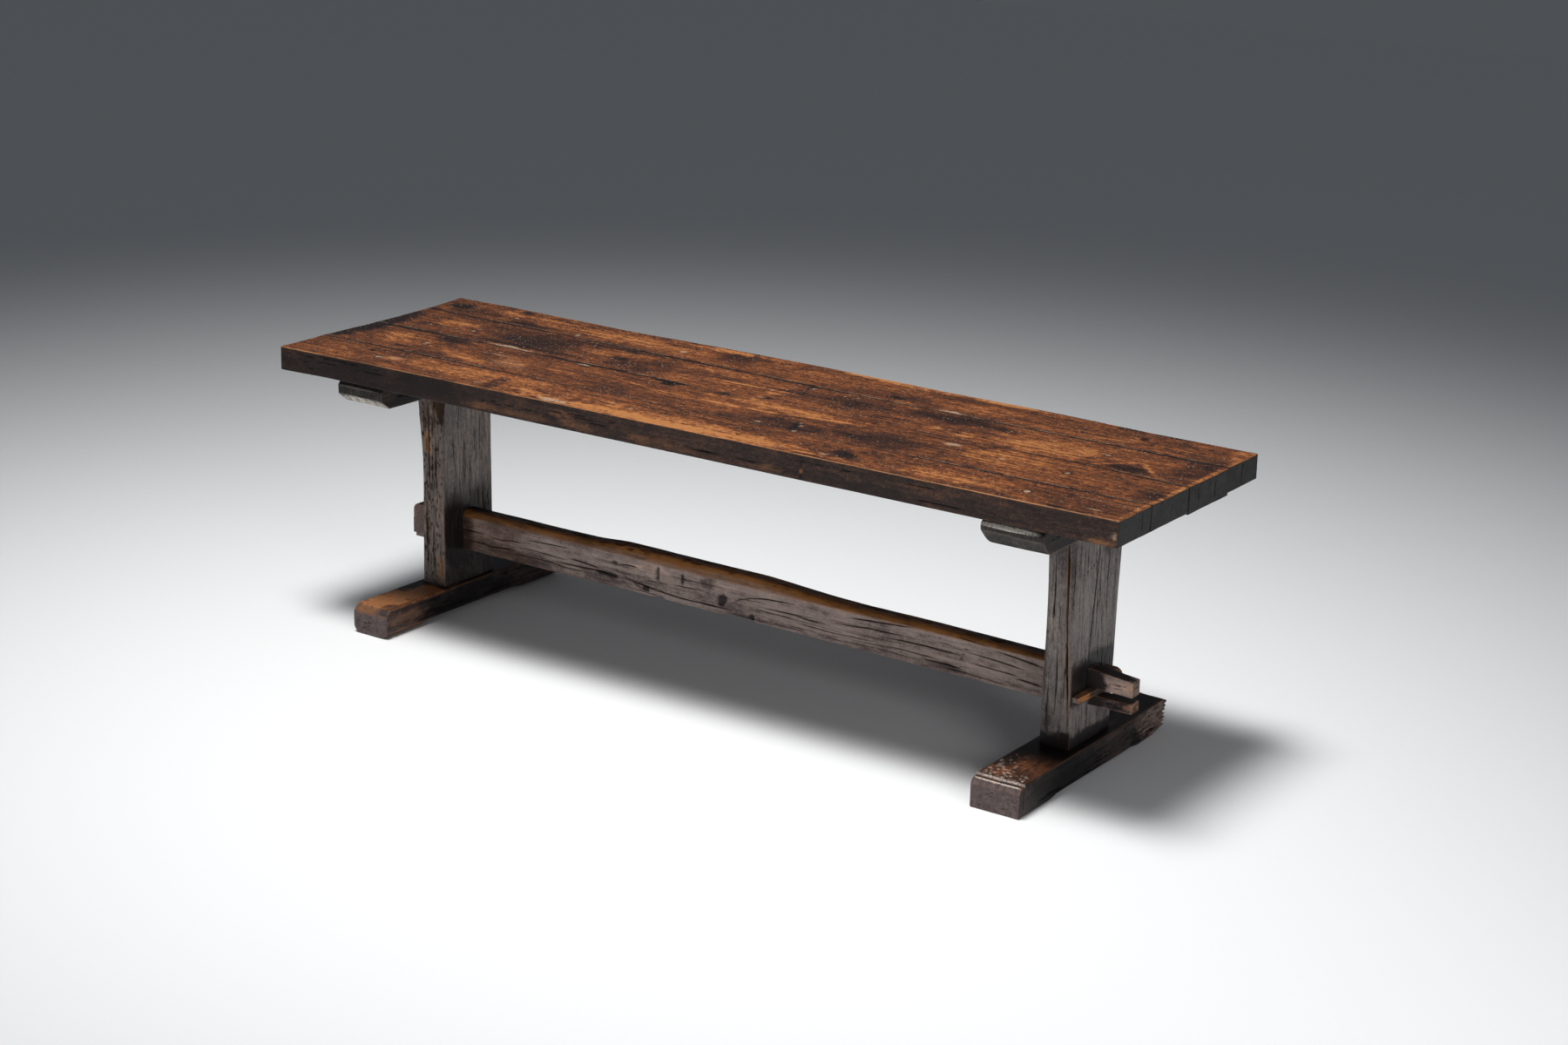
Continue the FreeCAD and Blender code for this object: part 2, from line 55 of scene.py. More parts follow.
LIGHT_LEVEL = 0.875
Pair = tuple[float, float]
Triple = tuple[float, float, float]
Array = np.ndarray
Socket = bpy.types.NodeSocket
ARRIS_STOPS = np.array([0.0, 0.12, 0.3, 0.52, 0.76, 1.0])
FINE_STOPS = np.array([-2.4, -1.2, -0.5, 0.0, 0.5, 1.2, 2.4])
LEAST_STEP = 0.12


class Side(Enum):
    """A direction that a face looks in: its normal, then the two axes that span it."""

    TOP = ((0, 0, 1), (0, 1))
    UNDER = ((0, 0, -1), (0, 1))
    FRONT = ((0, -1, 0), (0, 2))
    BACK = ((0, 1, 0), (0, 2))
    LEFT = ((-1, 0, 0), (1, 2))
    RIGHT = ((1, 0, 0), (1, 2))

    @property
    def normal(self) -> Array:
        """Unit vector that the face looks along."""
        return np.array(self.value[0], float)

    @property
    def axes(self) -> tuple[int, int]:
        """Indices of the two axes in the plane of the face."""
        return self.value[1]


class Grain(Enum):
    """The axis that the fibres run along."""

    ALONG_X = 0
    ALONG_Y = 1
    ALONG_Z = 2


def smooth_step(low: float, high: float, value: Array) -> Array:
    """Goes smoothly from 0 at low to 1 at high, with low above high for a fall."""
    share = np.clip((value - low) / (high - low), 0.0, 1.0)
    return share * share * (3.0 - 2.0 * share)


class GrainNoise:
    """Smooth seeded noise over points in millimetres, for wear and for worked surfaces."""

    PRIMES = (73856093, 19349663, 83492791)
    CELLS = 8191

    def __init__(self, seed: int) -> None:
        """Fills the table of random values for this seed."""
        self.table = np.random.default_rng(seed).uniform(-1.0, 1.0, self.CELLS)

    def value(self, points: Array, period: Triple) -> Array:
        """One octave of noise.

        Args:
            points: Array of n by 3 places.
            period: Size of one lump along each axis.

        Returns:
            n values from -1 to 1.
        """
        place = points / np.asarray(period, float)
        cell = np.floor(place).astype(np.int64)
        share = place - cell
        share = share * share * (3.0 - 2.0 * share)
        total = np.zeros(len(points))
        for corner in range(8):
            step = np.array([(corner >> axis) & 1 for axis in range(3)])
            key = (cell + step) * np.array(self.PRIMES)
            index = (key[:, 0] ^ key[:, 1] ^ key[:, 2]) % self.CELLS
            total += np.prod(np.where(step, share, 1.0 - share), axis=1) * self.table[index]
        return total

    def fractal(self, points: Array, period: Triple, octaves: int = 3) -> Array:
        """Several octaves, each half as large and half as strong as the one before.

        Args:
            points: Array of n by 3 places.
            period: Size of the largest lumps along each axis.
            octaves: How many sizes are added.

        Returns:
            n values from about -1 to 1.
        """
        total = np.zeros(len(points))
        for octave in range(octaves):
            fine = 0.5 ** octave
            total += fine * self.value(points + 977.0 * octave, tuple(fine * p for p in period))
        return total / (2.0 - 0.5 ** (octaves - 1))


def through(points: tuple[Pair, ...], x: Array) -> Array:
    """Values at each x of a line drawn through points."""
    return np.interp(x, *zip(*points))


def linked(name: str, data: bpy.types.ID) -> bpy.types.Object:
    """Puts a new object into the scene.

    Args:
        name: Name of the object.
        data: Mesh, light or camera that it holds.

    Returns:
        The object.
    """
    made = bpy.data.objects.new(name, data)
    bpy.context.scene.collection.objects.link(made)
    return made


def grid_lines(length: float, step: float, arris: float, fine: tuple[float, ...] = ()) -> Array:
    """Grid lines across one extent of a timber, close together at its arrises.

    Args:
        length: The extent.
        step: Spacing of the lines away from the arrises.
        arris: Width of the rounded zone at each end.
        fine: Places that get a cluster of extra lines.

    Returns:
        Sorted places from 0 to length.
    """
    edge = arris * ARRIS_STOPS
    count = max(2, int(round((length - 2.0 * arris) / step)))
    inner = np.linspace(arris, length - arris, count + 1)
    places = np.concatenate([edge, inner, length - edge])
    for place in fine:
        places = np.concatenate([places, place + FINE_STOPS])
    places = np.unique(np.round(np.clip(places, 0.0, length), 3))
    keep = np.concatenate([[True], np.diff(places) > LEAST_STEP])
    keep[-1] = True
    return places[keep]


@dataclass
class Lattice:
    """The surface grid of a squared timber, in its own along, across and up lengths."""

    along: Array
    across: Array
    up: Array

    def surface(self) -> tuple[Array, Array]:
        """Works out the grid's points and faces.

        Returns:
            n by 3 places, and m by 4 point numbers.
        """
        counts = (len(self.along), len(self.across), len(self.up))
        outside = np.zeros(counts, bool)
        for axis in range(3):
            for end in (0, -1):
                outside[tuple(end if k == axis else slice(None) for k in range(3))] = True
        number = np.full(counts, -1)
        number[outside] = np.arange(outside.sum())
        i, j, k = np.nonzero(outside)
        points = np.stack([self.along[i], self.across[j], self.up[k]], 1)
        quads = []
        for axis in range(3):
            for end in (0, -1):
                face = number[tuple(end if k == axis else slice(None) for k in range(3))]
                ring = [face[:-1, :-1], face[1:, :-1], face[1:, 1:], face[:-1, 1:]]
                flip = (end == 0) != (axis == 1)
                quads.append(np.stack([r.ravel() for r in (ring[::-1] if flip else ring)], 1))
        return points, np.concatenate(quads)


@dataclass
class Surface:
    """A shaped grid with the marks that its finish reads."""

    points: Array
    quads: Array
    tone: Array = field(init=False)
    wear: Array = field(init=False)
    pale: Array = field(init=False)
    crack: Array = field(init=False)
    upper: Array = field(init=False)
    ends: Array = field(init=False)
    plank: Array = field(init=False)
    normals: Array = field(init=False)

    MARKS = ("tone", "wear", "pale", "crack", "upper", "ends", "plank")

    def __post_init__(self) -> None:
        """Turns the faces outwards, and starts every mark at zero."""
        for name in self.MARKS:
            setattr(self, name, np.zeros(len(self.points)))
        corner = self.points[self.quads]
        volume = np.einsum("ij,ij->i", np.cross(corner[:, 0], corner[:, 1]), corner[:, 2]).sum()
        volume += np.einsum("ij,ij->i", np.cross(corner[:, 0], corner[:, 2]), corner[:, 3]).sum()
        if volume < 0.0:
            self.quads = self.quads[:, ::-1]
        self.find_normals()

    def find_normals(self) -> None:
        """Works out the normal at each point from the faces round it."""
        corner = self.points[self.quads]
        face = np.cross(corner[:, 2] - corner[:, 0], corner[:, 3] - corner[:, 1])
        total = np.zeros_like(self.points)
        for column in range(4):
            for axis in range(3):
                total[:, axis] += np.bincount(self.quads[:, column], face[:, axis], len(self.points))
        length = np.linalg.norm(total, axis=1, keepdims=True)
        self.normals = total / np.maximum(length, 1e-9)

    def facing(self, side: Side, low: float = 0.5, high: float = 0.85) -> Array:
        """How far each point belongs to one side, from 0 to 1."""
        return smooth_step(low, high, self.normals @ side.normal)

    def sink(self, depth: Array) -> None:
        """Moves points inwards along their normals by a depth each."""
        self.points = self.points - self.normals * depth[:, None]

    @staticmethod
    def joined(parts: list["Surface"]) -> "Surface":
        """One surface from several closed ones.

        Args:
            parts: The surfaces, which keep their marks.

        Returns:
            A surface that holds all their points and faces.
        """
        starts = np.cumsum([0] + [len(part.points) for part in parts])
        whole = Surface(np.concatenate([part.points for part in parts]),
                        np.concatenate([part.quads + start for part, start in zip(parts, starts)]))
        for name in Surface.MARKS:
            setattr(whole, name, np.concatenate([getattr(part, name) for part in parts]))
        return whole

    def to_object(self, name: str) -> bpy.types.Object:
        """Writes the surface as a smooth mesh object, in metres, with its marks as attributes.

        Args:
            name: Name of the object.

        Returns:
            The new object, linked to the scene.
        """
        mesh = bpy.data.meshes.new(name)
        mesh.vertices.add(len(self.points))
        mesh.vertices.foreach_set("co", (self.points * MM).astype(np.float32).ravel())
        mesh.loops.add(4 * len(self.quads))
        mesh.loops.foreach_set("vertex_index", self.quads.astype(np.int32).ravel())
        mesh.polygons.add(len(self.quads))
        mesh.polygons.foreach_set("loop_start", np.arange(0, 4 * len(self.quads), 4, dtype=np.int32))
        mesh.polygons.foreach_set("use_smooth", np.ones(len(self.quads), bool))
        mesh.update(calc_edges=True)
        for mark in self.MARKS:
            attribute = mesh.attributes.new(mark, "FLOAT", "POINT")
            attribute.data.foreach_set("value", getattr(self, mark).astype(np.float32))
        return linked(name, mesh)


@dataclass(frozen=True)
class Blot:
    """A soft-edged patch on one side: darker or lighter, more amber, pale or eaten away; its pale and lighter
    tones are dust and chips in some places, painted highlights, glows and reflections in others.
    """

    side: Side
    centre: Pair
    reach: Pair
    tone: float = 0.0
    pale: float = 0.0
    depth: float = 0.0
    turn: float = 0.0
    ragged: float = 0.45
    amber: float = 0.0

    def press(self, surface: Surface, noise: GrainNoise) -> None:
        """Adds the patch to a surface.

        Args:
            surface: What it is pressed into.
            noise: Breaks up its edge.
        """
        first, second = self.side.axes
        u = surface.points[:, first] - self.centre[0]
        v = surface.points[:, second] - self.centre[1]
        far = 1.9 * max(self.reach)
        facing = surface.normals @ self.side.normal > 0.3
        near = np.nonzero(facing & (np.abs(u) < far) & (np.abs(v) < far))[0]
        if len(near) == 0:
            return
        c, s = math.cos(math.radians(self.turn)), math.sin(math.radians(self.turn))
        along = (c * u[near] + s * v[near]) / self.reach[0]
        over = (c * v[near] - s * u[near]) / self.reach[1]
        lump = max(4.0, 0.55 * min(self.reach))
        rough = noise.fractal(surface.points[near], (1.8 * lump, lump, lump), 3)
        mask = smooth_step(1.3, 0.45, np.hypot(along, over) + self.ragged * rough)
        surface.tone[near] += self.tone * mask
        surface.pale[near] = np.maximum(surface.pale[near], self.pale * mask)
        surface.wear[near] = np.maximum(surface.wear[near], self.amber * mask)
        if self.depth:
            grit = 0.6 + 0.8 * noise.value(surface.points[near], (5.0, 3.5, 5.0))
            sunk = np.zeros(len(surface.points))
            sunk[near] = self.depth * mask * np.clip(grit, 0.0, 1.4)
            surface.sink(sunk)


@dataclass(frozen=True)
class Crack:
    """A check that follows a path over one side, open in the middle and closed at its ends."""

    side: Side
    path: tuple[Pair, ...]
    width: float = 2.0
    depth: float = 4.0
    rim: float = 0.0

    def press(self, surface: Surface, noise: GrainNoise) -> None:
        """Cuts the check into a surface.

        Args:
            surface: What it is cut into.
            noise: Makes its path wander.
        """
        first, second = self.side.axes
        path = np.array(self.path, float)
        low, high = path.min(0) - 12.0, path.max(0) + 12.0
        u, v = surface.points[:, first], surface.points[:, second]
        facing = surface.normals @ self.side.normal > 0.45
        near = np.nonzero(facing & (u > low[0]) & (u < high[0]) & (v > low[1]) & (v < high[1]))[0]
        if len(near) == 0:
            return
        places = np.stack([u[near], v[near]], 1)
        wander = noise.fractal(surface.points[near], (34.0, 34.0, 34.0), 3)
        places = places + 0.8 * wander[:, None]
        lengths = np.linalg.norm(np.diff(path, axis=0), axis=1)
        starts = np.concatenate([[0.0], np.cumsum(lengths)])
        best = np.full(len(near), 1e9)
        travel = np.zeros(len(near))
        for begin, end, length, start in zip(path, path[1:], lengths, starts):
            run = (end - begin) / length
            share = np.clip((places - begin) @ run, 0.0, length)
            gap = np.linalg.norm(places - begin - share[:, None] * run, axis=1)
            closer = gap < best
            best = np.where(closer, gap, best)
            travel = np.where(closer, start + share, travel)
        part = travel / starts[-1]
        open_share = np.clip(np.minimum(part, 1.0 - part) * 5.0, 0.0, 1.0) ** 0.6
        open_share *= 0.85 + 0.25 * noise.value(surface.points[near], (60.0, 60.0, 60.0))
        half = 0.5 * self.width * np.clip(open_share, 0.5, 1.2)
        groove = np.clip(1.0 - best / half, 0.0, 1.0)
        sunk = np.zeros(len(surface.points))
        sunk[near] = self.depth * open_share * np.sqrt(groove)
        surface.sink(sunk)
        surface.crack[near] = np.maximum(surface.crack[near], smooth_step(1.5, 0.6, best / half) * open_share)
        if self.rim:
            lip = smooth_step(2.6, 1.4, best / half) * (1.0 - smooth_step(1.5, 1.0, best / half))
            surface.wear[near] = np.maximum(surface.wear[near], self.rim * lip * open_share)


@dataclass(frozen=True)
class Scoop:
    """A shallow dish knocked out of an arris, as deep as a ball pressed into it."""

    centre: Triple
    radius: float

    def press(self, surface: Surface, noise: GrainNoise) -> None:
        """Pushes the points inside the ball out to its skin.

        Args:
            surface: What is dished.
            noise: Roughens the dish.
        """
        out = surface.points - np.array(self.centre)
        gap = np.linalg.norm(out, axis=1)
        reach = self.radius + 0.7 * noise.value(surface.points, (9.0, 6.0, 6.0))
        inside = gap < reach
        skin = np.array(self.centre) + out * (reach / np.maximum(gap, 1e-6))[:, None]
        surface.points = np.where(inside[:, None], skin, surface.points)
        surface.wear[inside] *= 0.3
        surface.tone[inside] -= 0.35


Mark = Blot | Crack | Scoop


@dataclass
class Timber:
    """One squared timber: a grid that is rounded at its arrises and then bent to its real shape.

    The grid's along, across and up lengths are length, width and height.
    """

    name: str
    seed: int
    length: float
    width: float
    height: float
    grain: Grain = Grain.ALONG_X
    steps: Triple = (7.0, 3.0, 3.0)
    arris: float = 4.0
    end_arris: float = 2.5
    ripple: float = 0.5
    fibre: float = 0.12
    fine_across: tuple[float, ...] = ()
    top_side: Side | None = None
    end_sides: tuple[Side, ...] = ()
    wear: float = 0.7

    FIBRE_STRETCH = 6.0
    SWELL_PERIOD = 75.0
    STRAND_PERIOD = 4.5
    RUB_PERIOD = 22.0
    PLANK_LOOKS = 17

    def arris_at(self, bar: Array) -> Array:
        """Arris radius at each grid point, which a shaped timber overrides."""
        return np.full(len(bar), self.arris)

    def bend(self, bar: Array) -> Array:
        """Takes grid places to the table's frame, which every timber does in its own way."""
        raise NotImplementedError

    def weather(self, surface: Surface, noise: GrainNoise) -> None:
        """Adds the wear that belongs to one kind of timber, which a plain one has none of."""

    def rounded(self, bar: Array) -> tuple[Array, Array]:
        """Rounds the arrises of the grid.

        Args:
            bar: n by 3 places on the squared timber.

        Returns:
            The rounded places, and how far each is on an arris.
        """
        half = 0.5 * np.array([self.length, self.width, self.height])
        long_radius = np.minimum(self.arris_at(bar), 0.49 * min(self.width, self.height))
        radius = np.stack([np.full(len(bar), self.end_arris), long_radius, long_radius], 1)
        place = bar - half
        core = np.clip(place, radius - half, half - radius)
        out = (place - core) / radius
        unit = out / np.maximum(np.linalg.norm(out, axis=1, keepdims=True), 1e-9)
        edge = np.clip((1.0 - np.abs(unit).max(1)) / 0.2, 0.0, 1.0)
        return core + radius * unit + half, edge

    def shape(self, marks: list[Mark], box: tuple[Array, Array]) -> Surface:
        """Builds the surface, works it over and presses its marks.

        Args:
            marks: Patches, checks and dishes, in the table's frame.
            box: Lowest and highest corner that the timber stays within.

        Returns:
            The finished surface.
        """
        noise = GrainNoise(self.seed)
        grid = Lattice(grid_lines(self.length, self.steps[0], self.end_arris),
                       grid_lines(self.width, self.steps[1], self.arris, self.fine_across),
                       grid_lines(self.height, self.steps[2], self.arris))
        bar, quads = grid.surface()
        bar, edge = self.rounded(bar)
        surface = Surface(self.bend(bar), quads)
        stretch = np.ones(3)
        stretch[self.grain.value] = self.FIBRE_STRETCH
        places = surface.points
        swell = self.ripple * noise.fractal(places, tuple(self.SWELL_PERIOD * stretch), 2)
        strands = self.fibre * noise.fractal(places, tuple(self.STRAND_PERIOD * stretch), 2)
        surface.sink(0.5 * self.ripple + swell + 0.5 * self.fibre + strands)
        surface.find_normals()
        if self.top_side:
            surface.upper = surface.facing(self.top_side, 0.45, 0.8)
        for side in self.end_sides:
            surface.ends = np.maximum(surface.ends, surface.facing(side, 0.6, 0.9))
        rubbed = 0.75 + 0.5 * noise.fractal(places, tuple(self.RUB_PERIOD * np.sqrt(stretch)), 3)
        surface.wear = self.wear * edge * np.clip(rubbed, 0.0, 1.3)
        surface.plank[:] = self.seed % self.PLANK_LOOKS
        self.weather(surface, noise)
        for mark in marks:
            mark.press(surface, noise)
        surface.points = np.clip(surface.points, box[0], box[1])
        return surface


@dataclass(frozen=True)
class TopLine:
    """A lengthwise line of the top: its place from front to back, and its rise above flat."""

    places: tuple[Pair, ...]
    rises: tuple[Pair, ...] = ((0.0, 0.0),)
    openings: tuple[Pair, ...] = ((0.0, 1.0),)

    def opened(self, x: Array) -> Array:
        """How far the seam along the line stands open at each x, from 0 to 1."""
        return through(self.openings, x)

    def y(self, x: Array) -> Array:
        """Place of the line at each x."""
        return through(self.places, x)

    def rise(self, x: Array) -> Array:
        """Height of the line above flat at each x."""
        return through(self.rises, x)


@dataclass
class Board(Timber):
    """One plank of the top, between two lengthwise lines."""

    steps: Triple = (7.0, 2.9, 3.2)
    arris: float = 4.6
    end_arris: float = 2.2
    ripple: float = 0.9
    fibre: float = 0.16
    top_side: Side | None = Side.TOP
    end_sides: tuple[Side, ...] = (Side.LEFT, Side.RIGHT)
    wear: float = 1.0
    front: TopLine | None = None
    rear: TopLine | None = None
    left_end: float = -1255.0
    right_end: float = 1255.0
    table_height: float = 750.0
    underside: float = 686.0
    bearer_top: float = 686.0
    housings: tuple[Pair, ...] = ()
    housing_ramp: float = 2.0
    seam_gap: float = 0.35
    tight_arris: float = 0.5
    front_arris: float = 1.8
    rear_arris: float = 1.8
    under_arris: float = 2.5
    cup: float = 0.9
    sag: float = 3.6
    sag_along: Pair = (-1068.0, -1255.0)
    sag_across: Pair = (-100.0, -330.0)
    seam_limit: float = 3.0
    seam_stain: float = 7.5

    def arris_at(self, bar: Array) -> Array:
        """Arris radius, larger at the table's own edges and small where a seam is tight.

        Args:
            bar: n by 3 places in along, across and up.

        Returns:
            n radii.
        """
        x = self.left_end + bar[:, 0]
        at_front = bar[:, 1] < 0.5 * self.width
        radius = np.where(at_front, self.front_arris, self.rear_arris)
        opened = np.where(at_front, self.front.opened(x), self.rear.opened(x))
        radius = self.tight_arris + (radius - self.tight_arris) * opened
        worn = GrainNoise(self.seed + 5).fractal(np.stack([x, 0 * x, 0 * x], 1), (120.0, 1.0, 1.0), 3)
        radius = radius * (1.0 + 0.35 * worn)
        return np.where(bar[:, 2] > 0.5 * self.height, radius, self.under_arris)

    def weather(self, surface: Surface, noise: GrainNoise) -> None:
        """Darkens the seams with old wax, and paints pale glints of light along their arrises.

        Args:
            surface: The shaped timber, whose marks change.
            noise: Breaks the painted glints into dots.
        """
        x, y = surface.points[:, 0], surface.points[:, 1]
        dots = smooth_step(-0.35, 0.3, noise.fractal(surface.points, (16.0, 400.0, 400.0), 2))
        surface.wear *= smooth_step(0.1, 0.4, surface.normals[:, 2])
        for line, inset, arris, far_side in ((self.front, y - self.front.y(x), self.front_arris, 1.0),
                                             (self.rear, self.rear.y(x) - y, self.rear_arris, 0.0)):
            if arris > self.seam_limit:
                continue
            opened = line.opened(x)
            surface.wear *= 1.0 - smooth_step(7.0, 3.0, inset)
            surface.crack = np.maximum(surface.crack, opened * smooth_step(4.4 - 2.2 * far_side, 1.4, inset))
            surface.tone -= 0.5 * opened * smooth_step(1.6 * self.seam_stain, 2.0, inset)
            # A band beside each open seam, whose arris gets painted glints as pale dots
            lit = smooth_step(7.5, 5.0, inset) * smooth_step(1.6, 3.0, inset)
            surface.pale = np.maximum(surface.pale, 0.6 * far_side * dots * opened * lit)

    def bend(self, bar: Array) -> Array:
        """Lays the plank between its two lines, risen and cupped as the old top is.

        Args:
            bar: n by 3 places in along, across and up.

        Returns:
            n by 3 places in the table's frame.
        """
        x = self.left_end + bar[:, 0] * (self.right_end - self.left_end) / self.length
        share = bar[:, 1] / self.width
        front_y = self.front.y(x) + self.seam_gap
        rear_y = self.rear.y(x) - self.seam_gap
        y = front_y + share * (rear_y - front_y)
        rise = self.front.rise(x) + share * (self.rear.rise(x) - self.front.rise(x))
        cup = -self.cup * 4.0 * share * (1.0 - share)
        under = np.full(len(bar), self.underside)
        for start, end in self.housings:
            ramp = self.housing_ramp
            inside = smooth_step(start - ramp, start, x) * smooth_step(end + ramp, end, x)
            under = under + inside * (self.bearer_top - self.underside)
        under = under - self.sag * smooth_step(*self.sag_along, x) * smooth_step(*self.sag_across, y)
        top = self.table_height + rise + cup
        return np.stack([x, y, under + bar[:, 2] / self.height * (top - under)], 1)


@dataclass
class Bearer(Timber):
    """A cross bearer with a shaped nose at each end."""

    grain: Grain = Grain.ALONG_Y
    steps: Triple = (4.0, 3.6, 3.0)
    end_arris: float = 3.0
    top_side: Side | None = Side.TOP
    wear: float = 0.6
    centre_x: float = 0.0
    half_length: float = 338.0
    flat_half: float = 304.0
    top: float = 686.0
    bottom: float = 622.0
    crown_run: float = 14.0
    crown_drop: float = 16.0
    nose_rise: float = 34.0
    nose_bow: float = 12.0
    worn_corner: float = 0.0

    def arris_at(self, bar: Array) -> Array:
        """Arris radius, with one lower corner rubbed round at the near nose.

        Args:
            bar: n by 3 places in along, across and up.

        Returns:
            n radii.
        """
        at_nose = smooth_step(70.0, 10.0, bar[:, 0])
        low_inner = (bar[:, 1] < 0.5 * self.width) & (bar[:, 2] < 0.5 * self.height)
        return np.where(low_inner, self.arris + self.worn_corner * at_nose, self.arris)

    def weather(self, surface: Surface, noise: GrainNoise) -> None:
        """Shows end grain on the end and the slope of each nose."""
        surface.ends = np.maximum(surface.facing(Side.FRONT, 0.35, 0.6), surface.facing(Side.BACK, 0.35, 0.6))

    def bend(self, bar: Array) -> Array:
        """Sets the bearer across the table and shapes its noses.

        Args:
            bar: n by 3 places in along, across and up.

        Returns:
            n by 3 places in the table's frame.
        """
        y = bar[:, 0] - self.half_length
        reach = np.clip((np.abs(y) - self.flat_half) / (self.half_length - self.flat_half), 0.0, 1.0)
        low = self.bottom + self.nose_rise * reach - 4.0 * self.nose_bow * reach * (1.0 - reach)
        crown = np.clip((np.abs(y) - self.half_length + self.crown_run) / self.crown_run, 0.0, 1.0)
        high = self.top - self.crown_drop * crown
        x = self.centre_x - 0.5 * self.width + bar[:, 1]
        return np.stack([x, y, low + bar[:, 2] / self.height * (high - low)], 1)


@dataclass(frozen=True)
class PostLevel:
    """The cross-section of a post at one height."""

    z: float
    x: float
    thickness: float
    near: float
    far: float


@dataclass
class Post(Timber):
    """A broad upright plank, waisted between the foot and the bearer."""

    grain: Grain = Grain.ALONG_Z
    steps: Triple = (4.5, 1.7, 1.9)
    arris: float = 3.6
    end_arris: float = 1.0
    ripple: float = 0.6
    fibre: float = 0.2
    wear: float = 0.15
    levels: tuple[PostLevel, ...] = ()
    bury: float = 4.0
    chamfer: tuple[Triple, Triple, Triple] | None = None

    EASING = (-60.0, -30.0, 0.0, 30.0, 60.0)

    def measure(self, part: str, z: Array) -> Array:
        """One measure of the cross-section at each height."""
        return through(tuple((level.z, getattr(level, part)) for level in self.levels), z)

    def chamfer_plane(self) -> tuple[Array, Array]:
        """The plane of the stopped chamfer.

        Returns:
            A corner of it, and its unit normal.
        """
        first, second, third = (np.array(corner) for corner in self.chamfer)
        normal = np.cross(second - first, third - first)
        return first, normal / np.linalg.norm(normal)

    def bend(self, bar: Array) -> Array:
        """Stands the post up, with its sections eased from level to level.

        Args:
            bar: n by 3 places in along, across and up.

        Returns:
            n by 3 places in the table's frame.
        """
        foot, head = self.levels[0].z, self.levels[-1].z
        low, high = foot - self.bury, head + self.bury
        z = low + bar[:, 0] / self.length * (high - low)
        middle = np.zeros(len(z))
        thickness = np.zeros(len(z))
        for offset in self.EASING:
            at = np.where((z + offset < foot) | (z + offset > head), z, z + offset)
            middle += self.measure("x", at) / len(self.EASING)
            thickness += self.measure("thickness", at) / len(self.EASING)
        near = self.measure("near", z)
        y = near + bar[:, 1] / self.width * (self.measure("far", z) - near)
        x = middle + (bar[:, 2] / self.height - 0.5) * thickness
        points = np.stack([x, y, z], 1)
        if self.chamfer:
            corner, normal = self.chamfer_plane()
            if normal @ (points.mean(0) - corner) > 0.0:
                normal = -normal
            beyond = np.clip((points - corner) @ normal, 0.0, None)
            points = points - beyond[:, None] * normal
        return points

    def weather(self, surface: Surface, noise: GrainNoise) -> None:
        """Darkens the stopped chamfer.

        Args:
            surface: The shaped timber, whose marks change.
            noise: Not used.
        """
        if self.chamfer:
            corner, normal = self.chamfer_plane()
            stop = self.chamfer[2][2]
            on_plane = smooth_step(2.2, 1.2, np.abs((surface.points - corner) @ normal))
            surface.tone -= 1.5 * (on_plane * smooth_step(stop, stop + 4.0, surface.points[:, 2]))


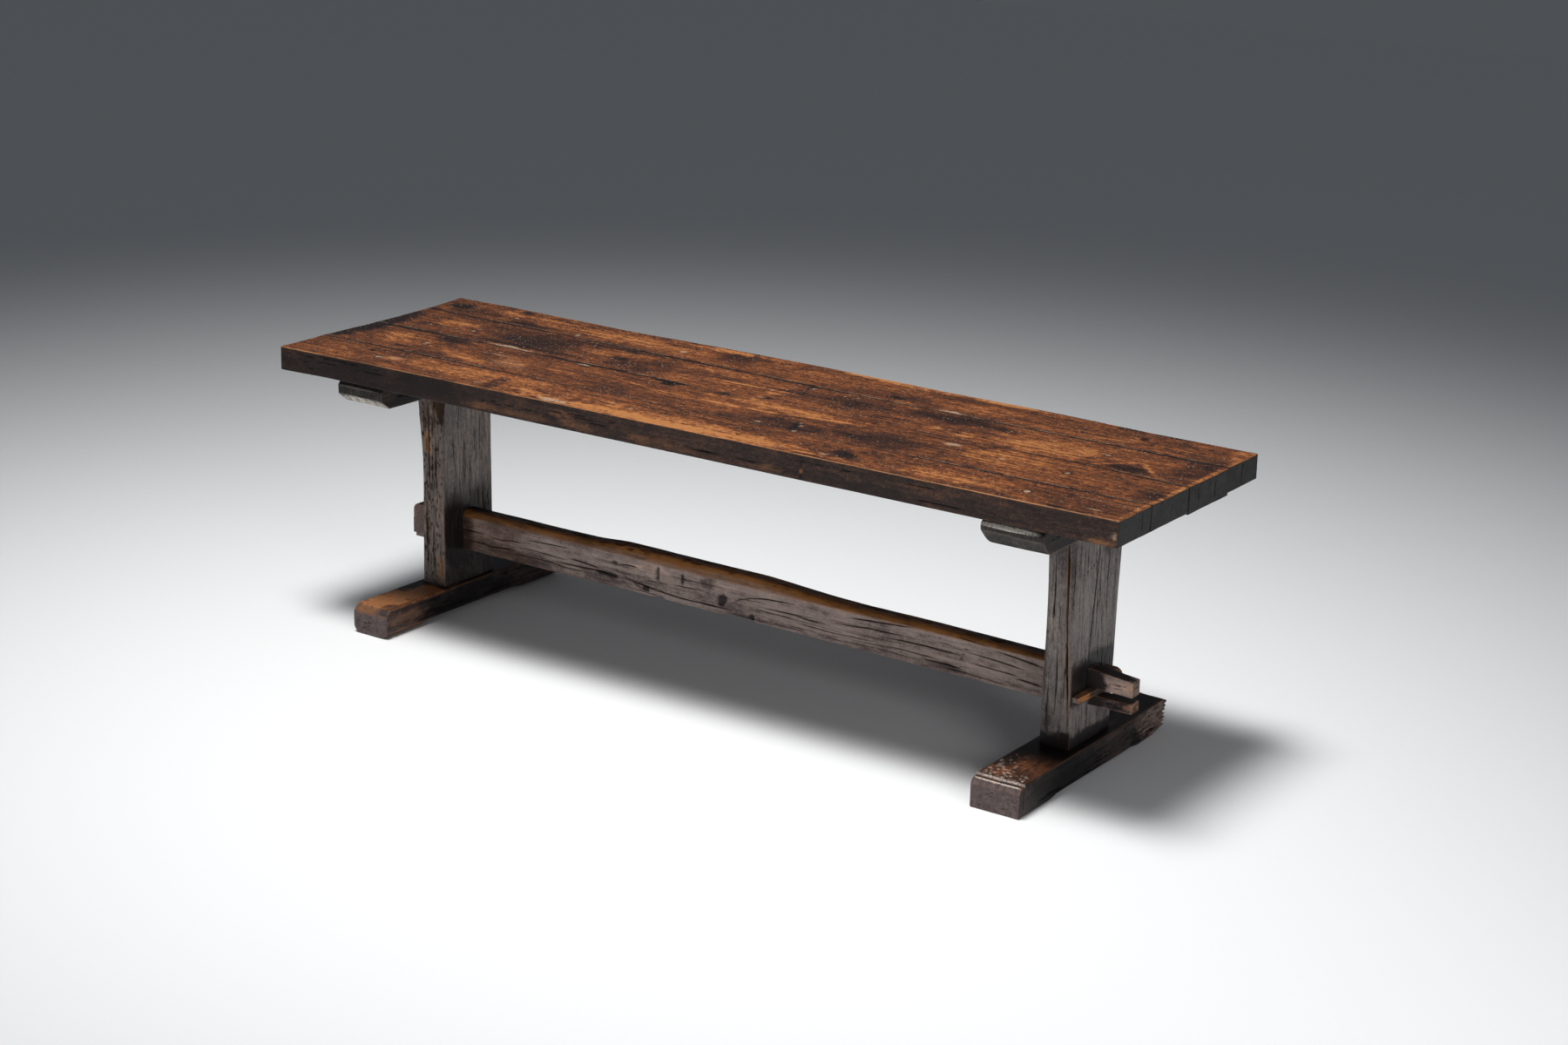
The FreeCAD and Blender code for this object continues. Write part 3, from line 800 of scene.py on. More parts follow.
@dataclass
class Foot(Timber):
    """A long foot that lies across the table under a post, hollowed beneath between its pads."""

    grain: Grain = Grain.ALONG_Y
    ripple: float = 0.9
    fibre: float = 0.2
    top_side: Side | None = Side.TOP
    end_sides: tuple[Side, ...] = (Side.FRONT, Side.BACK)
    wear: float = 0.4
    centre_x: float = 0.0
    front_y: float = -360.0
    end_face: float = 60.0
    top: float = 80.0
    hollow: float = 6.0
    pad: float = 150.0
    ramp: float = 30.0
    low_arris: float = 4.0
    bevel: float = 0.0
    quirk: float = 3.0
    bead: float = 12.0
    bead_top: float = 73.0
    cove: float = 11.0
    rotted_from: float | None = None

    def arris_at(self, bar: Array) -> Array:
        """Arris radius, by top and bottom."""
        return np.where(bar[:, 2] > 0.5 * self.height, self.arris, self.low_arris)

    def weather(self, surface: Surface, noise: GrainNoise) -> None:
        """Leaves the rubbing on the arrises that face up."""
        surface.wear *= smooth_step(0.1, 0.5, surface.normals[:, 2])

    def height_at(self, run: Array) -> Array:
        """Height of the upper surface at each distance from the near end.

        Args:
            run: Distances from the near end.

        Returns:
            Heights above the floor.
        """
        if self.bevel:
            nearest = np.minimum(run, self.length - run)
            return self.end_face + (self.top - self.end_face) * np.clip(nearest / self.bevel, 0.0, 1.0)
        bead_end = self.quirk + self.bead
        rounded = np.clip((bead_end - run) / self.bead, 0.0, 1.0)
        bead = self.end_face + (self.bead_top - self.end_face) * np.sqrt(1.0 - rounded ** 2)
        rising = np.clip((run - bead_end) / self.cove, 0.0, 1.0)
        cove = self.top - (self.top - self.bead_top) * np.sqrt(1.0 - rising ** 2)
        return np.where(run < self.quirk, self.end_face, np.where(run < bead_end, bead, cove))

    def bend(self, bar: Array) -> Array:
        """Lays the foot down, works its ends and hollows it between the pads.

        Args:
            bar: n by 3 places in along, across and up.

        Returns:
            n by 3 places in the table's frame.
        """
        run = bar[:, 0]
        y = self.front_y + run
        nearest = np.minimum(run, self.length - run)
        low = self.hollow * np.clip((nearest - self.pad) / self.ramp, 0.0, 1.0)
        high = self.height_at(run)
        x = self.centre_x - 0.5 * self.width + bar[:, 1]
        z = low + bar[:, 2] / self.height * (high - low)
        points = np.stack([x, y, z], 1)
        if self.rotted_from is not None:
            points = self.rot(points)
        return points

    def rot(self, points: Array) -> Array:
        """Eats the far end away in layers, most along its lower edges.

        Args:
            points: The foot as it was made.

        Returns:
            The foot as it is left.
        """
        noise = GrainNoise(self.seed + 3)
        eaten = smooth_step(self.rotted_from, self.rotted_from + 60.0, points[:, 1])
        last = smooth_step(self.front_y + self.length - 70.0, self.front_y + self.length, points[:, 1])
        layers = noise.fractal(points, (120.0, 120.0, 9.0), 2)
        lumps = noise.fractal(points, (30.0, 45.0, 18.0), 3)
        side = np.clip((points[:, 0] - self.centre_x) / (0.5 * self.width), -1.0, 1.0)
        wave = noise.fractal(points, (60.0, 60.0, 60.0), 2)
        teeth = 1.0 - np.abs(np.sin(math.pi * (points[:, 2] / 11.5 + 0.4 * wave)))
        inset = eaten * (3.5 + 3.0 * layers + 2.5 * lumps + 2.5 * last * teeth)
        inset = inset * np.abs(side) ** 3 * np.sign(side)
        back = last * (1.5 + 8.5 * teeth + 3.0 * layers + 2.5 * lumps)
        undercut = last * 7.0 * np.abs(side) ** 2 * smooth_step(70.0, 0.0, points[:, 2])
        moved = points.copy()
        moved[:, 0] -= inset * (0.5 + 0.8 * smooth_step(80.0, 20.0, points[:, 2]))
        moved[:, 1] -= np.clip(back, 0.0, None)
        moved[:, 2] += undercut * (1.0 - points[:, 2] / self.top)
        return moved


@dataclass
class Beam(Timber):
    """The stretcher between the posts, worn to a slope along its near upper arris."""

    steps: Triple = (6.6, 3.0, 1.15)
    arris: float = 5.0
    end_arris: float = 1.0
    ripple: float = 1.0
    fibre: float = 0.3
    top_side: Side | None = Side.TOP
    wear: float = 0.8
    left_x: float = -915.0
    centre_y: float = 3.0
    bottom: float = 166.4
    near_top: float = 263.2
    low_arris: float = 2.5
    far_top: float = 271.5
    slope: float = 14.0
    crown: float = 9.0
    crown_end: float = 420.0
    crown_start: float = 60.0
    swell: float = 6.0
    swell_left: Pair = (-480.0, -360.0)
    swell_right: Pair = (300.0, 40.0)
    tilt: float = 4.0
    half_span: float = 1255.0
    notches: tuple[Triple, ...] = ((-234.0, 13.0, 6.5), (20.0, 44.0, 5.0), (820.0, 300.0, -2.4),
                                   (-120.0, 420.0, 1.6))

    def arris_at(self, bar: Array) -> Array:
        """Arris radius, small along the bottom."""
        return np.where(bar[:, 2] > 0.5 * self.height, self.arris, self.low_arris)

    def weather(self, surface: Surface, noise: GrainNoise) -> None:
        """Rubs the near upper slope to amber, as feet have done.

        Args:
            surface: The shaped timber, whose marks change.
            noise: Breaks up the wear.
        """
        slope = smooth_step(0.12, 0.4, -surface.normals[:, 1])
        slope = slope * smooth_step(0.12, 0.45, surface.normals[:, 2])
        worn = 0.75 + 0.5 * noise.fractal(surface.points, (160.0, 12.0, 12.0), 3)
        lift = -self.tilt * surface.points[:, 0] / self.half_span
        edge = 7.0 + 5.0 * noise.fractal(surface.points, (150.0, 400.0, 400.0), 2)
        depth = (self.near_top + lift - surface.points[:, 2]) / np.maximum(edge, 1.0)
        below = surface.facing(Side.FRONT) * smooth_step(1.3, 0.4, depth)
        surface.upper = np.maximum(surface.upper, slope)
        inset = surface.points[:, 1] - self.centre_y + 0.5 * self.width
        over = surface.facing(Side.TOP) * smooth_step(30.0, 15.0, inset)
        rubbed = np.maximum.reduce([0.9 * slope, 0.6 * below, 0.65 * over])
        surface.wear = np.maximum(surface.wear * (1.0 - surface.upper), worn * rubbed)

    def bend(self, bar: Array) -> Array:
        """Sets the beam on edge, a little out of level, with a wandering worn slope.

        Args:
            bar: n by 3 places in along, across and up.

        Returns:
            n by 3 places in the table's frame.
        """
        x = self.left_x + bar[:, 0]
        line = np.stack([x, 0.0 * x, 0.0 * x], 1)
        noise = GrainNoise(self.seed + 9)
        slope = self.slope * (1.0 + 0.25 * noise.fractal(line, (260.0, 1.0, 1.0), 2))
        crest = self.far_top - 0.9 + 2.6 * noise.fractal(line + 50.0, (300.0, 1.0, 1.0), 3)
        crest += self.crown * smooth_step(self.crown_end, self.crown_start, x)
        crest += self.swell * smooth_step(*self.swell_left, x) * smooth_step(*self.swell_right, x)
        low = np.full(len(x), self.bottom)
        for centre, reach, rise in self.notches:
            low += rise * smooth_step(1.25, 0.7, np.abs(x - centre) / reach)
        share = np.clip(bar[:, 1] / slope, 0.0, 1.0)
        high = self.near_top + (crest - self.near_top) * np.sin(0.5 * math.pi * share)
        lift = -self.tilt * x / self.half_span
        y = self.centre_y - 0.5 * self.width + bar[:, 1]
        z = low + bar[:, 2] / self.height * (high - low) + lift
        return np.stack([x, y, z], 1)


Section = tuple[float, Pair, Pair]


@dataclass
class Block(Timber):
    """A short piece lofted through sections along one axis, each a place and its two corners."""

    sections: tuple[Section, ...] = ()
    lean: float = 0.0
    lean_from: float = 0.0
    lean_way: float = 1.0
    outer_round: float = 0.0

    def arris_at(self, bar: Array) -> Array:
        """Arris radius, larger on the outer top arris where that is rounded.

        Args:
            bar: n by 3 places in along, across and up.

        Returns:
            n radii.
        """
        outer = (bar[:, 1] > 0.5 * self.width) if self.lean_way > 0.0 else (bar[:, 1] < 0.5 * self.width)
        rounded = outer & (bar[:, 2] > 0.5 * self.height) & (self.outer_round > 0.0)
        return np.where(rounded, self.outer_round, self.arris)

    def bend(self, bar: Array) -> Array:
        """Places the block through its sections, with its inner face leaning as the post's does.

        Args:
            bar: n by 3 places in along, across and up.

        Returns:
            n by 3 places in the table's frame.
        """
        axis = self.grain.value
        others = [k for k in range(3) if k != axis]
        stops = np.array([section[0] for section in self.sections])
        place = stops[0] + bar[:, 0] / self.length * (stops[-1] - stops[0])
        points = np.zeros((len(bar), 3))
        points[:, axis] = place
        for slot, (other, extent) in enumerate(zip(others, (self.width, self.height))):
            low = np.interp(place, stops, [section[1][slot] for section in self.sections])
            high = np.interp(place, stops, [section[2][slot] for section in self.sections])
            points[:, other] = low + bar[:, slot + 1] / extent * (high - low)
        if self.lean:
            share = bar[:, 1] / self.width
            inner = 1.0 - share if self.lean_way > 0.0 else share
            points[:, 0] += self.lean * (points[:, 2] - self.lean_from) * inner
        return points


@dataclass(frozen=True)
class Palette:
    """Colours of one finish, as linear red, green and blue."""

    deep: Triple
    dark: Triple
    middle: Triple
    warm: Triple
    light: Triple


class NodeTree:
    """Short ways to add and feed the nodes of one tree."""

    def __init__(self, tree: bpy.types.NodeTree) -> None:
        """Takes the tree that the nodes go into."""
        self.tree = tree

    def put(self, target: Socket, value: object) -> None:
        """Links a socket to another, or sets it to a plain value.

        Args:
            target: The socket.
            value: Another socket, or a plain value.
        """
        if isinstance(value, Socket):
            self.tree.links.new(value, target)
        else:
            target.default_value = value

    def node(self, kind: str, feeds: dict[str | int, object] | None = None,
             **settings: object) -> bpy.types.Node:
        """Adds a node.

        Args:
            kind: Blender's name of the node.
            feeds: Sockets or plain values for its inputs, by name or number.
            settings: Its properties.

        Returns:
            The node.
        """
        made = self.tree.nodes.new(kind)
        for key, value in settings.items():
            setattr(made, key, value)
        for key, value in (feeds or {}).items():
            self.put(made.inputs[key], value)
        return made


class Sheet(NodeTree):
    """A material with a principled surface."""

    def __init__(self, name: str) -> None:
        """Starts the material.

        Args:
            name: Name of the material.
        """
        self.material = bpy.data.materials.new(name)
        self.material.use_nodes = True
        super().__init__(self.material.node_tree)

    def coat(self, feeds: dict[str, object]) -> bpy.types.Material:
        """Feeds the inputs of the principled surface.

        Args:
            feeds: Sockets or plain values, by the name of the input.

        Returns:
            The material.
        """
        for key, value in feeds.items():
            self.put(self.tree.nodes["Principled BSDF"].inputs[key], value)
        return self.material

    def math(self, operation: str, first: object, second: object, clamp: bool = False) -> Socket:
        """A Math node on two sockets or numbers, which clamp keeps from 0 to 1."""
        made = self.node("ShaderNodeMath", {0: first, 1: second}, operation=operation, use_clamp=clamp)
        return made.outputs[0]

    def times(self, first: object, second: object, clamp: bool = False) -> Socket:
        """The product of two values."""
        return self.math("MULTIPLY", first, second, clamp)

    def plus(self, first: object, second: object, clamp: bool = False) -> Socket:
        """The sum of two values."""
        return self.math("ADD", first, second, clamp)

    def span(self, value: object, low: float, high: float, out_low: float = 0.0,
             out_high: float = 1.0) -> Socket:
        """Maps a value smoothly from one range to another."""
        feeds = dict(enumerate((value, low, high, out_low, out_high)))
        return self.node("ShaderNodeMapRange", feeds, interpolation_type="SMOOTHSTEP").outputs[0]

    def blend(self, share: object, first: object, second: object) -> Socket:
        """Mixes two colours by the share of the second, each a socket or red, green and blue."""
        ends = [item if isinstance(item, Socket) else (*item, 1.0) for item in (first, second)]
        return self.node("ShaderNodeMix", {0: share, 6: ends[0], 7: ends[1]}, data_type="RGBA").outputs[2]

    def noise(self, place: Socket, scale: Triple, detail: float, rough: float,
              twist: float = 0.0) -> Socket:
        """Noise over places.

        Args:
            place: Places in metres.
            scale: Lumps per metre along each axis.
            detail: How many finer sizes are added.
            rough: Strength of the finer sizes.
            twist: How far the lumps are drawn out of shape.

        Returns:
            Values from 0 to 1.
        """
        stretched = self.node("ShaderNodeVectorMath", {0: place, 1: scale}, operation="MULTIPLY").outputs[0]
        return self.node("ShaderNodeTexNoise", {"Vector": stretched, "Scale": 1.0, "Detail": detail,
                                                "Roughness": rough, "Distortion": twist}).outputs[0]

    def ramp(self, value: Socket, stops: list[tuple[float, Triple]]) -> Socket:
        """A colour ramp.

        Args:
            value: Place on the ramp.
            stops: Places and colours.

        Returns:
            The colour's socket.
        """
        made = self.node("ShaderNodeValToRGB", {0: value})
        while len(made.color_ramp.elements) < len(stops):
            made.color_ramp.elements.new(0.5)
        for element, (place, colour) in zip(made.color_ramp.elements, stops):
            element.position = place
            element.color = (*colour, 1.0)
        return made.outputs[0]

    def object_places(self) -> Socket:
        """Places in the frame of the object, in metres."""
        return self.node("ShaderNodeTexCoord").outputs["Object"]

    def mark(self, name: str) -> Socket:
        """The value of a mark that the mesh carries."""
        return self.node("ShaderNodeAttribute", attribute_name=name).outputs["Fac"]


@dataclass(frozen=True)
class OldOak:
    """A finish of old oak: waxed on its worn upper face, darker on its sides and ends."""

    name: str
    grain: Grain
    upper: Palette
    sides: Palette
    ends: Palette
    wear: Triple
    pale: Triple
    mottle: float = 0.8
    speckle: float = 0.35
    side_contrast: float = 1.0
    streak: float = 0.5
    pores: float = 0.6
    specks: float = 0.0
    rough: float = 0.5
    upper_rough: float = 0.4
    shine: float = 0.24
    bump: float = 0.35

    CRACK = (0.004, 0.003, 0.0025)
    PLANK_SHIFT = 1.37
    BUMP_HEIGHT = 0.0012

    def places(self, sheet: Sheet) -> Socket:
        """Object places turned so that the fibres run along x, and moved apart from plank to plank.

        Args:
            sheet: The material.

        Returns:
            Socket of the places.
        """
        parts = sheet.node("ShaderNodeSeparateXYZ", {0: sheet.object_places()})
        order = [self.grain.value] + [k for k in range(3) if k != self.grain.value]
        shift = sheet.times(sheet.mark("plank"), self.PLANK_SHIFT)
        turned = {index: sheet.plus(parts.outputs[source], shift) for index, source in enumerate(order)}
        return sheet.node("ShaderNodeCombineXYZ", turned).outputs[0]

    def build(self) -> bpy.types.Material:
        """Builds the material's nodes.

        Returns:
            The material.
        """
        sheet = Sheet(self.name)
        place = self.places(sheet)
        cloud = sheet.noise(place, (7.0, 13.0, 13.0), 5.0, 0.62, 0.6)
        patch = sheet.noise(place, (16.0, 42.0, 42.0), 5.0, 0.65, 0.4)
        streak = sheet.noise(place, (3.2, 95.0, 95.0), 4.0, 0.6, 0.3)
        strand = sheet.noise(place, (14.0, 420.0, 420.0), 3.0, 0.6)
        dash = sheet.noise(place, (24.0, 520.0, 520.0), 2.0, 0.5)
        speck = sheet.noise(place, (150.0, 190.0, 190.0), 4.0, 0.7)
        fleck = sheet.noise(place, (48.0, 110.0, 110.0), 4.0, 0.7, 0.4)
        broken = sheet.span(sheet.plus(fleck, streak), 0.7, 1.3, 0.4, 1.6)
        tone = sheet.times(sheet.times(sheet.mark("tone"), 0.5), broken)
        for part, share in ((cloud, self.mottle), (patch, 0.55 * self.mottle), (streak, self.streak),
                            (strand, 0.6 * self.streak), (speck, self.speckle), (fleck, self.speckle)):
            tone = sheet.plus(tone, sheet.times(sheet.math("SUBTRACT", part, 0.5), share))
        tone = sheet.plus(tone, 0.5, clamp=True)
        side_tone = sheet.span(tone, 0.0, 1.0, 0.5 - 0.5 * self.side_contrast, 0.5 + 0.5 * self.side_contrast)
        colour = sheet.blend(sheet.mark("upper"), self.shades(sheet, side_tone, self.sides),
                             self.shades(sheet, tone, self.upper))
        ring = sheet.noise(place, (5.0, 60.0, 60.0), 4.0, 0.6, 1.5)
        colour = sheet.blend(sheet.mark("ends"), colour, self.shades(sheet, ring, self.ends))
        pore = sheet.span(dash, 0.62, 0.72)
        colour = sheet.blend(sheet.times(pore, self.pores), colour, self.sides.deep)
        rub = sheet.times(sheet.mark("wear"), sheet.span(patch, 0.3, 0.6, 0.45, 1.1), clamp=True)
        colour = sheet.blend(rub, colour, self.wear)
        # Pale marks: dust, chips and crumbs in some places, painted highlights, glints and a painted
        # reflection of the floor in others
        grit = sheet.noise(place, (130.0, 240.0, 240.0), 3.0, 0.7)
        dust_and_highlight = sheet.times(sheet.mark("pale"), sheet.span(grit, 0.36, 0.56, 0.15, 1.15), clamp=True)
        colour = sheet.blend(dust_and_highlight, colour, self.pale)
        if self.specks > 0.0:
            spot = sheet.noise(place, (170.0, 130.0, 130.0), 2.0, 0.5)
            lodged = sheet.times(sheet.span(spot, 0.66, 0.71), sheet.mark("upper"))
            colour = sheet.blend(sheet.times(lodged, self.specks), colour, self.pale)
        colour = sheet.blend(sheet.mark("crack"), colour, self.CRACK)
        gloss = sheet.span(sheet.mark("upper"), 0.0, 1.0, self.rough, self.upper_rough)
        gloss = sheet.plus(gloss, sheet.times(sheet.math("SUBTRACT", patch, 0.5), 0.3))
        gloss = sheet.plus(gloss, sheet.times(dust_and_highlight, 0.3))
        gloss = sheet.plus(gloss, sheet.times(sheet.mark("crack"), 0.4), clamp=True)
        height = sheet.plus(sheet.times(strand, 0.35), sheet.times(streak, 0.4))
        height = sheet.math("SUBTRACT", height, sheet.times(pore, 0.5))
        height = sheet.plus(height, sheet.times(sheet.times(grit, dust_and_highlight), 0.8))
        bump = sheet.node("ShaderNodeBump", {
            "Strength": self.bump, "Distance": self.BUMP_HEIGHT, "Height": height})
        return sheet.coat({"Base Color": colour, "Roughness": gloss, "Specular IOR Level": self.shine,
                           "Normal": bump.outputs[0]})

    @staticmethod
    def shades(sheet: Sheet, tone: Socket, palette: Palette) -> Socket:
        """The palette's colours from deep to light along the tone."""
        return sheet.ramp(tone, [(0.08, palette.deep), (0.3, palette.dark), (0.5, palette.middle),
                                 (0.7, palette.warm), (0.92, palette.light)])


def node_box(*nodes: str) -> tuple[Array, Array]:
    """Lowest and highest corner of some solids together, in millimetres."""
    lows, highs = zip(*(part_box(node) for node in nodes))
    return np.min(lows, 0) / MM, np.max(highs, 0) / MM


def dress(surface: Surface, name: str, nodes: tuple[str, ...], body: str,
          material: bpy.types.Material) -> None:
    """Makes a surface a piece of the table.

    Args:
        surface: The finished surface.
        name: Name of the piece.
        nodes: Solids that it stands for.
        body: Body that it moves with.
        material: Its finish.
    """
    made = surface.to_object(name)
    made.data.materials.append(material)
    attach(made, body)
    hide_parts(*nodes)
    LOG.info("%s: %d faces on %s", name, len(made.data.polygons), body)


def seen(red: int, green: int, blue: int, gain: float = 1.0) -> Triple:
    """A screen colour as linear light.

    Args:
        red: Red from 0 to 255.
        green: Green from 0 to 255.
        blue: Blue from 0 to 255.
        gain: Makes up for how little light its face gets.

    Returns:
        Linear red, green and blue.
    """
    parts = [c / 255.0 for c in (red, green, blue)]
    linear = [p / 12.92 if p <= 0.04045 else ((p + 0.055) / 1.055) ** 2.4 for p in parts]
    return tuple(LIGHT_LEVEL * gain * p for p in linear)


def shaded(gain: float, *stops: tuple[int, int, int]) -> Palette:
    """A palette of five screen colours from deep to light, with one gain."""
    return Palette(*(seen(*stop, gain) for stop in stops))


def blots(side: Side, rows: tuple[tuple[float, ...], ...]) -> list[Mark]:
    """Patches from rows of place, reach, tone, pale, depth, turn, raggedness and amber, as far as given."""
    return [Blot(side, row[0:2], row[2:4], *row[4:]) for row in rows]


def cracks(side: Side, width: float, depth: float, *paths: tuple[Pair, ...], rim: float = 0.0) -> list[Mark]:
    """Checks of one width and depth along several paths, with their lips rubbed light by the rim."""
    return [Crack(side, path, width, depth, rim) for path in paths]


@dataclass(frozen=True)
class Scatter:
    """A stretch of one side with marks strewn over it, where a seed lets them fall."""

    side: Side
    seed: int
    count: int
    low: Pair
    high: Pair

    def place(self, draw: np.random.Generator) -> Pair:
        """The next place."""
        return draw.uniform(self.low[0], self.high[0]), draw.uniform(self.low[1], self.high[1])

    def checks(self, run: Pair, width: Pair, upright: bool) -> list[Mark]:
        """Checks along the fibres.

        Args:
            run: Shortest and longest.
            width: Narrowest and widest.
            upright: Fibres run along the side's second axis.

        Returns:
            The checks.
        """
        draw = np.random.default_rng(self.seed)
        made: list[Mark] = []
        for _ in range(self.count):
            start = np.array(self.place(draw))
            length = draw.uniform(*run)
            lean = draw.normal(0.0, 0.018) * length
            path = [start]
            for share in (0.3, 0.65, 1.0):
                along, over = share * length, share * lean + draw.normal(0.0, 1.4)
                path.append(start + np.array([over, along] if upright else [along, over]))
            open_width = draw.uniform(*width)
            made.append(Crack(self.side, tuple(map(tuple, path)), open_width, 1.8 * open_width))
        return made

    def worm_holes(self) -> list[Mark]:
        """Pits that worm has left, and a rubbed spot to every five of them.

        Returns:
            The pits and spots.
        """
        draw = np.random.default_rng(self.seed)
        made: list[Mark] = []
        for index in range(self.count):
            centre = self.place(draw)
            size = draw.uniform(1.3, 3.0)
            if index % 6 == 0:
                made.append(Blot(self.side, centre, (1.6 * size, 4.5 * size), 0.4, amber=0.3))
            else:
                made.append(Blot(self.side, centre, (size, 1.7 * size), -1.2, 0.0, 1.0))
        return made

    def crumbs(self) -> list[Mark]:
        """Pale crumbs of plaster and wax.

        Returns:
            The crumbs.
        """
        draw = np.random.default_rng(self.seed)
        made: list[Mark] = []
        for _ in range(self.count):
            centre = self.place(draw)
            size = draw.uniform(1.4, 3.4)
            made.append(Blot(self.side, centre, (1.6 * size, size), 0.3, draw.uniform(0.35, 0.85),
                             turn=draw.uniform(0.0, 180.0)))
        return made


def strays(*rows: tuple, upright: bool = False) -> list[Mark]:
    """Checks strewn by rows of side, seed, count, lowest and highest place, run and width."""
    return [mark for row in rows for mark in Scatter(*row[:5]).checks(*row[5:], upright)]


class Finishes:
    """Every finish of the table, built once."""

    def __init__(self) -> None:
        """Builds the materials."""
        dark_sides = shaded(1.25, (18, 14, 13), (40, 31, 28), (62, 49, 44), (96, 68, 53), (150, 106, 78))
        dull_ends = shaded(1.5, (14, 13, 13), (28, 27, 27), (42, 41, 41), (56, 53, 51), (92, 80, 72))
        amber = seen(196, 136, 88)
        # Pale colour of dust and chips, which on the top also paints the glints along the seams
        dust_and_highlight = seen(188, 160, 134)
        self.top = OldOak(
            "waxed_top_oak", Grain.ALONG_X,
            shaded(1.02, (27, 20, 18), (64, 39, 30), (106, 62, 38), (152, 88, 48), (200, 132, 76)),
            shaded(1.35, (16, 13, 12), (36, 28, 26), (56, 43, 38), (88, 60, 46), (140, 96, 68)),
            dull_ends, amber, dust_and_highlight, mottle=0.66, speckle=0.95, side_contrast=0.55, streak=0.7,
            specks=0.9).build()
        self.bearer = OldOak(
            "dark_bearer_oak", Grain.ALONG_Y, dark_sides,
            shaded(1.0, (12, 11, 10), (26, 23, 21), (42, 36, 33), (60, 48, 42), (120, 92, 74)),
            shaded(1.05, (18, 17, 16), (38, 35, 33), (64, 60, 57), (88, 82, 78), (130, 122, 116)),
            # Its pale colour, lifted by the gain, paints the highlight along the top arris of each near nose
            # and the reflection of the floor on the left near nose's slope
            seen(130, 112, 96), seen(196, 190, 180, 1.7), mottle=0.5).build()
        self.post = OldOak(
            "grey_post_oak", Grain.ALONG_Z, dark_sides,
            shaded(2.45, (22, 19, 18), (54, 48, 46), (82, 76, 73), (98, 91, 87), (124, 112, 102)),
            dull_ends, seen(150, 98, 46, 1.45), dust_and_highlight,
            mottle=0.4, speckle=0.4, streak=0.42, pores=0.7, rough=0.42).build()
        self.foot = OldOak(
            "trodden_foot_oak", Grain.ALONG_Y,
            shaded(1.6, (16, 11, 9), (34, 23, 18), (62, 41, 31), (104, 64, 40), (160, 104, 62)),
            shaded(1.45, (14, 12, 11), (32, 26, 25), (52, 42, 40), (70, 55, 50), (98, 76, 66)),
            shaded(1.6, (36, 30, 29), (62, 53, 52), (84, 72, 70), (98, 84, 81), (122, 106, 100)),
            # The pale colour serves the crumbs, and the painted highlights beside the bead
            seen(150, 104, 66), seen(214, 198, 186), mottle=0.7, speckle=0.5, streak=0.4).build()
        self.stretcher = OldOak(
            "checked_stretcher_oak", Grain.ALONG_X,
            shaded(1.0, (14, 10, 8), (30, 20, 14), (52, 36, 26), (88, 58, 34), (160, 106, 58)),
            shaded(3.5, (26, 21, 20), (62, 52, 49), (96, 84, 79), (110, 97, 92), (136, 114, 102)),
            shaded(1.7, (26, 24, 23), (54, 46, 42), (88, 72, 62), (112, 90, 74), (144, 114, 88)),
            seen(150, 100, 56, 1.6), dust_and_highlight,
            mottle=0.5, speckle=0.3, streak=0.38, pores=0.5, rough=0.45).build()
        self.wedge = OldOak(
            "bare_wedge_oak", Grain.ALONG_Y,
            shaded(1.35, (30, 25, 22), (56, 46, 40), (84, 70, 60), (122, 88, 64), (168, 112, 70)),
            shaded(1.6, (24, 21, 19), (48, 40, 36), (74, 62, 55), (108, 80, 60), (156, 102, 62)),
            shaded(2.5, (30, 26, 25), (58, 50, 48), (88, 76, 72), (100, 86, 80), (124, 108, 96)),
            seen(176, 122, 80), dust_and_highlight, mottle=0.5).build()
        self.peg = OldOak(
            "peg_end_oak", Grain.ALONG_Z,
            shaded(1.0, (40, 30, 25), (78, 60, 48), (116, 92, 74), (144, 116, 92), (176, 146, 116)),
            dark_sides, dull_ends, amber, dust_and_highlight).build()
        sawn = shaded(1.4, (60, 44, 32), (96, 72, 52), (126, 98, 72), (146, 116, 86), (176, 144, 110))
        self.hidden = OldOak(
            "sawn_hidden_oak", Grain.ALONG_X, sawn, sawn, dull_ends, amber, dust_and_highlight, rough=0.6).build()
        self.crumb = self.wax_crumb()

    @staticmethod
    def wax_crumb() -> bpy.types.Material:
        """Old pale wax and grit that has lodged in the seams.

        Returns:
            The material.
        """
        sheet = Sheet("lodged_wax")
        grit = sheet.noise(sheet.object_places(), (300.0, 300.0, 300.0), 3.0, 0.6)
        stops = [(0.3, seen(96, 74, 58)), (0.5, seen(142, 114, 92)), (0.72, seen(192, 164, 138))]
        return sheet.coat({"Base Color": sheet.ramp(grit, stops),
                           "Roughness": sheet.span(grit, 0.3, 0.7, 0.6, 0.85)})


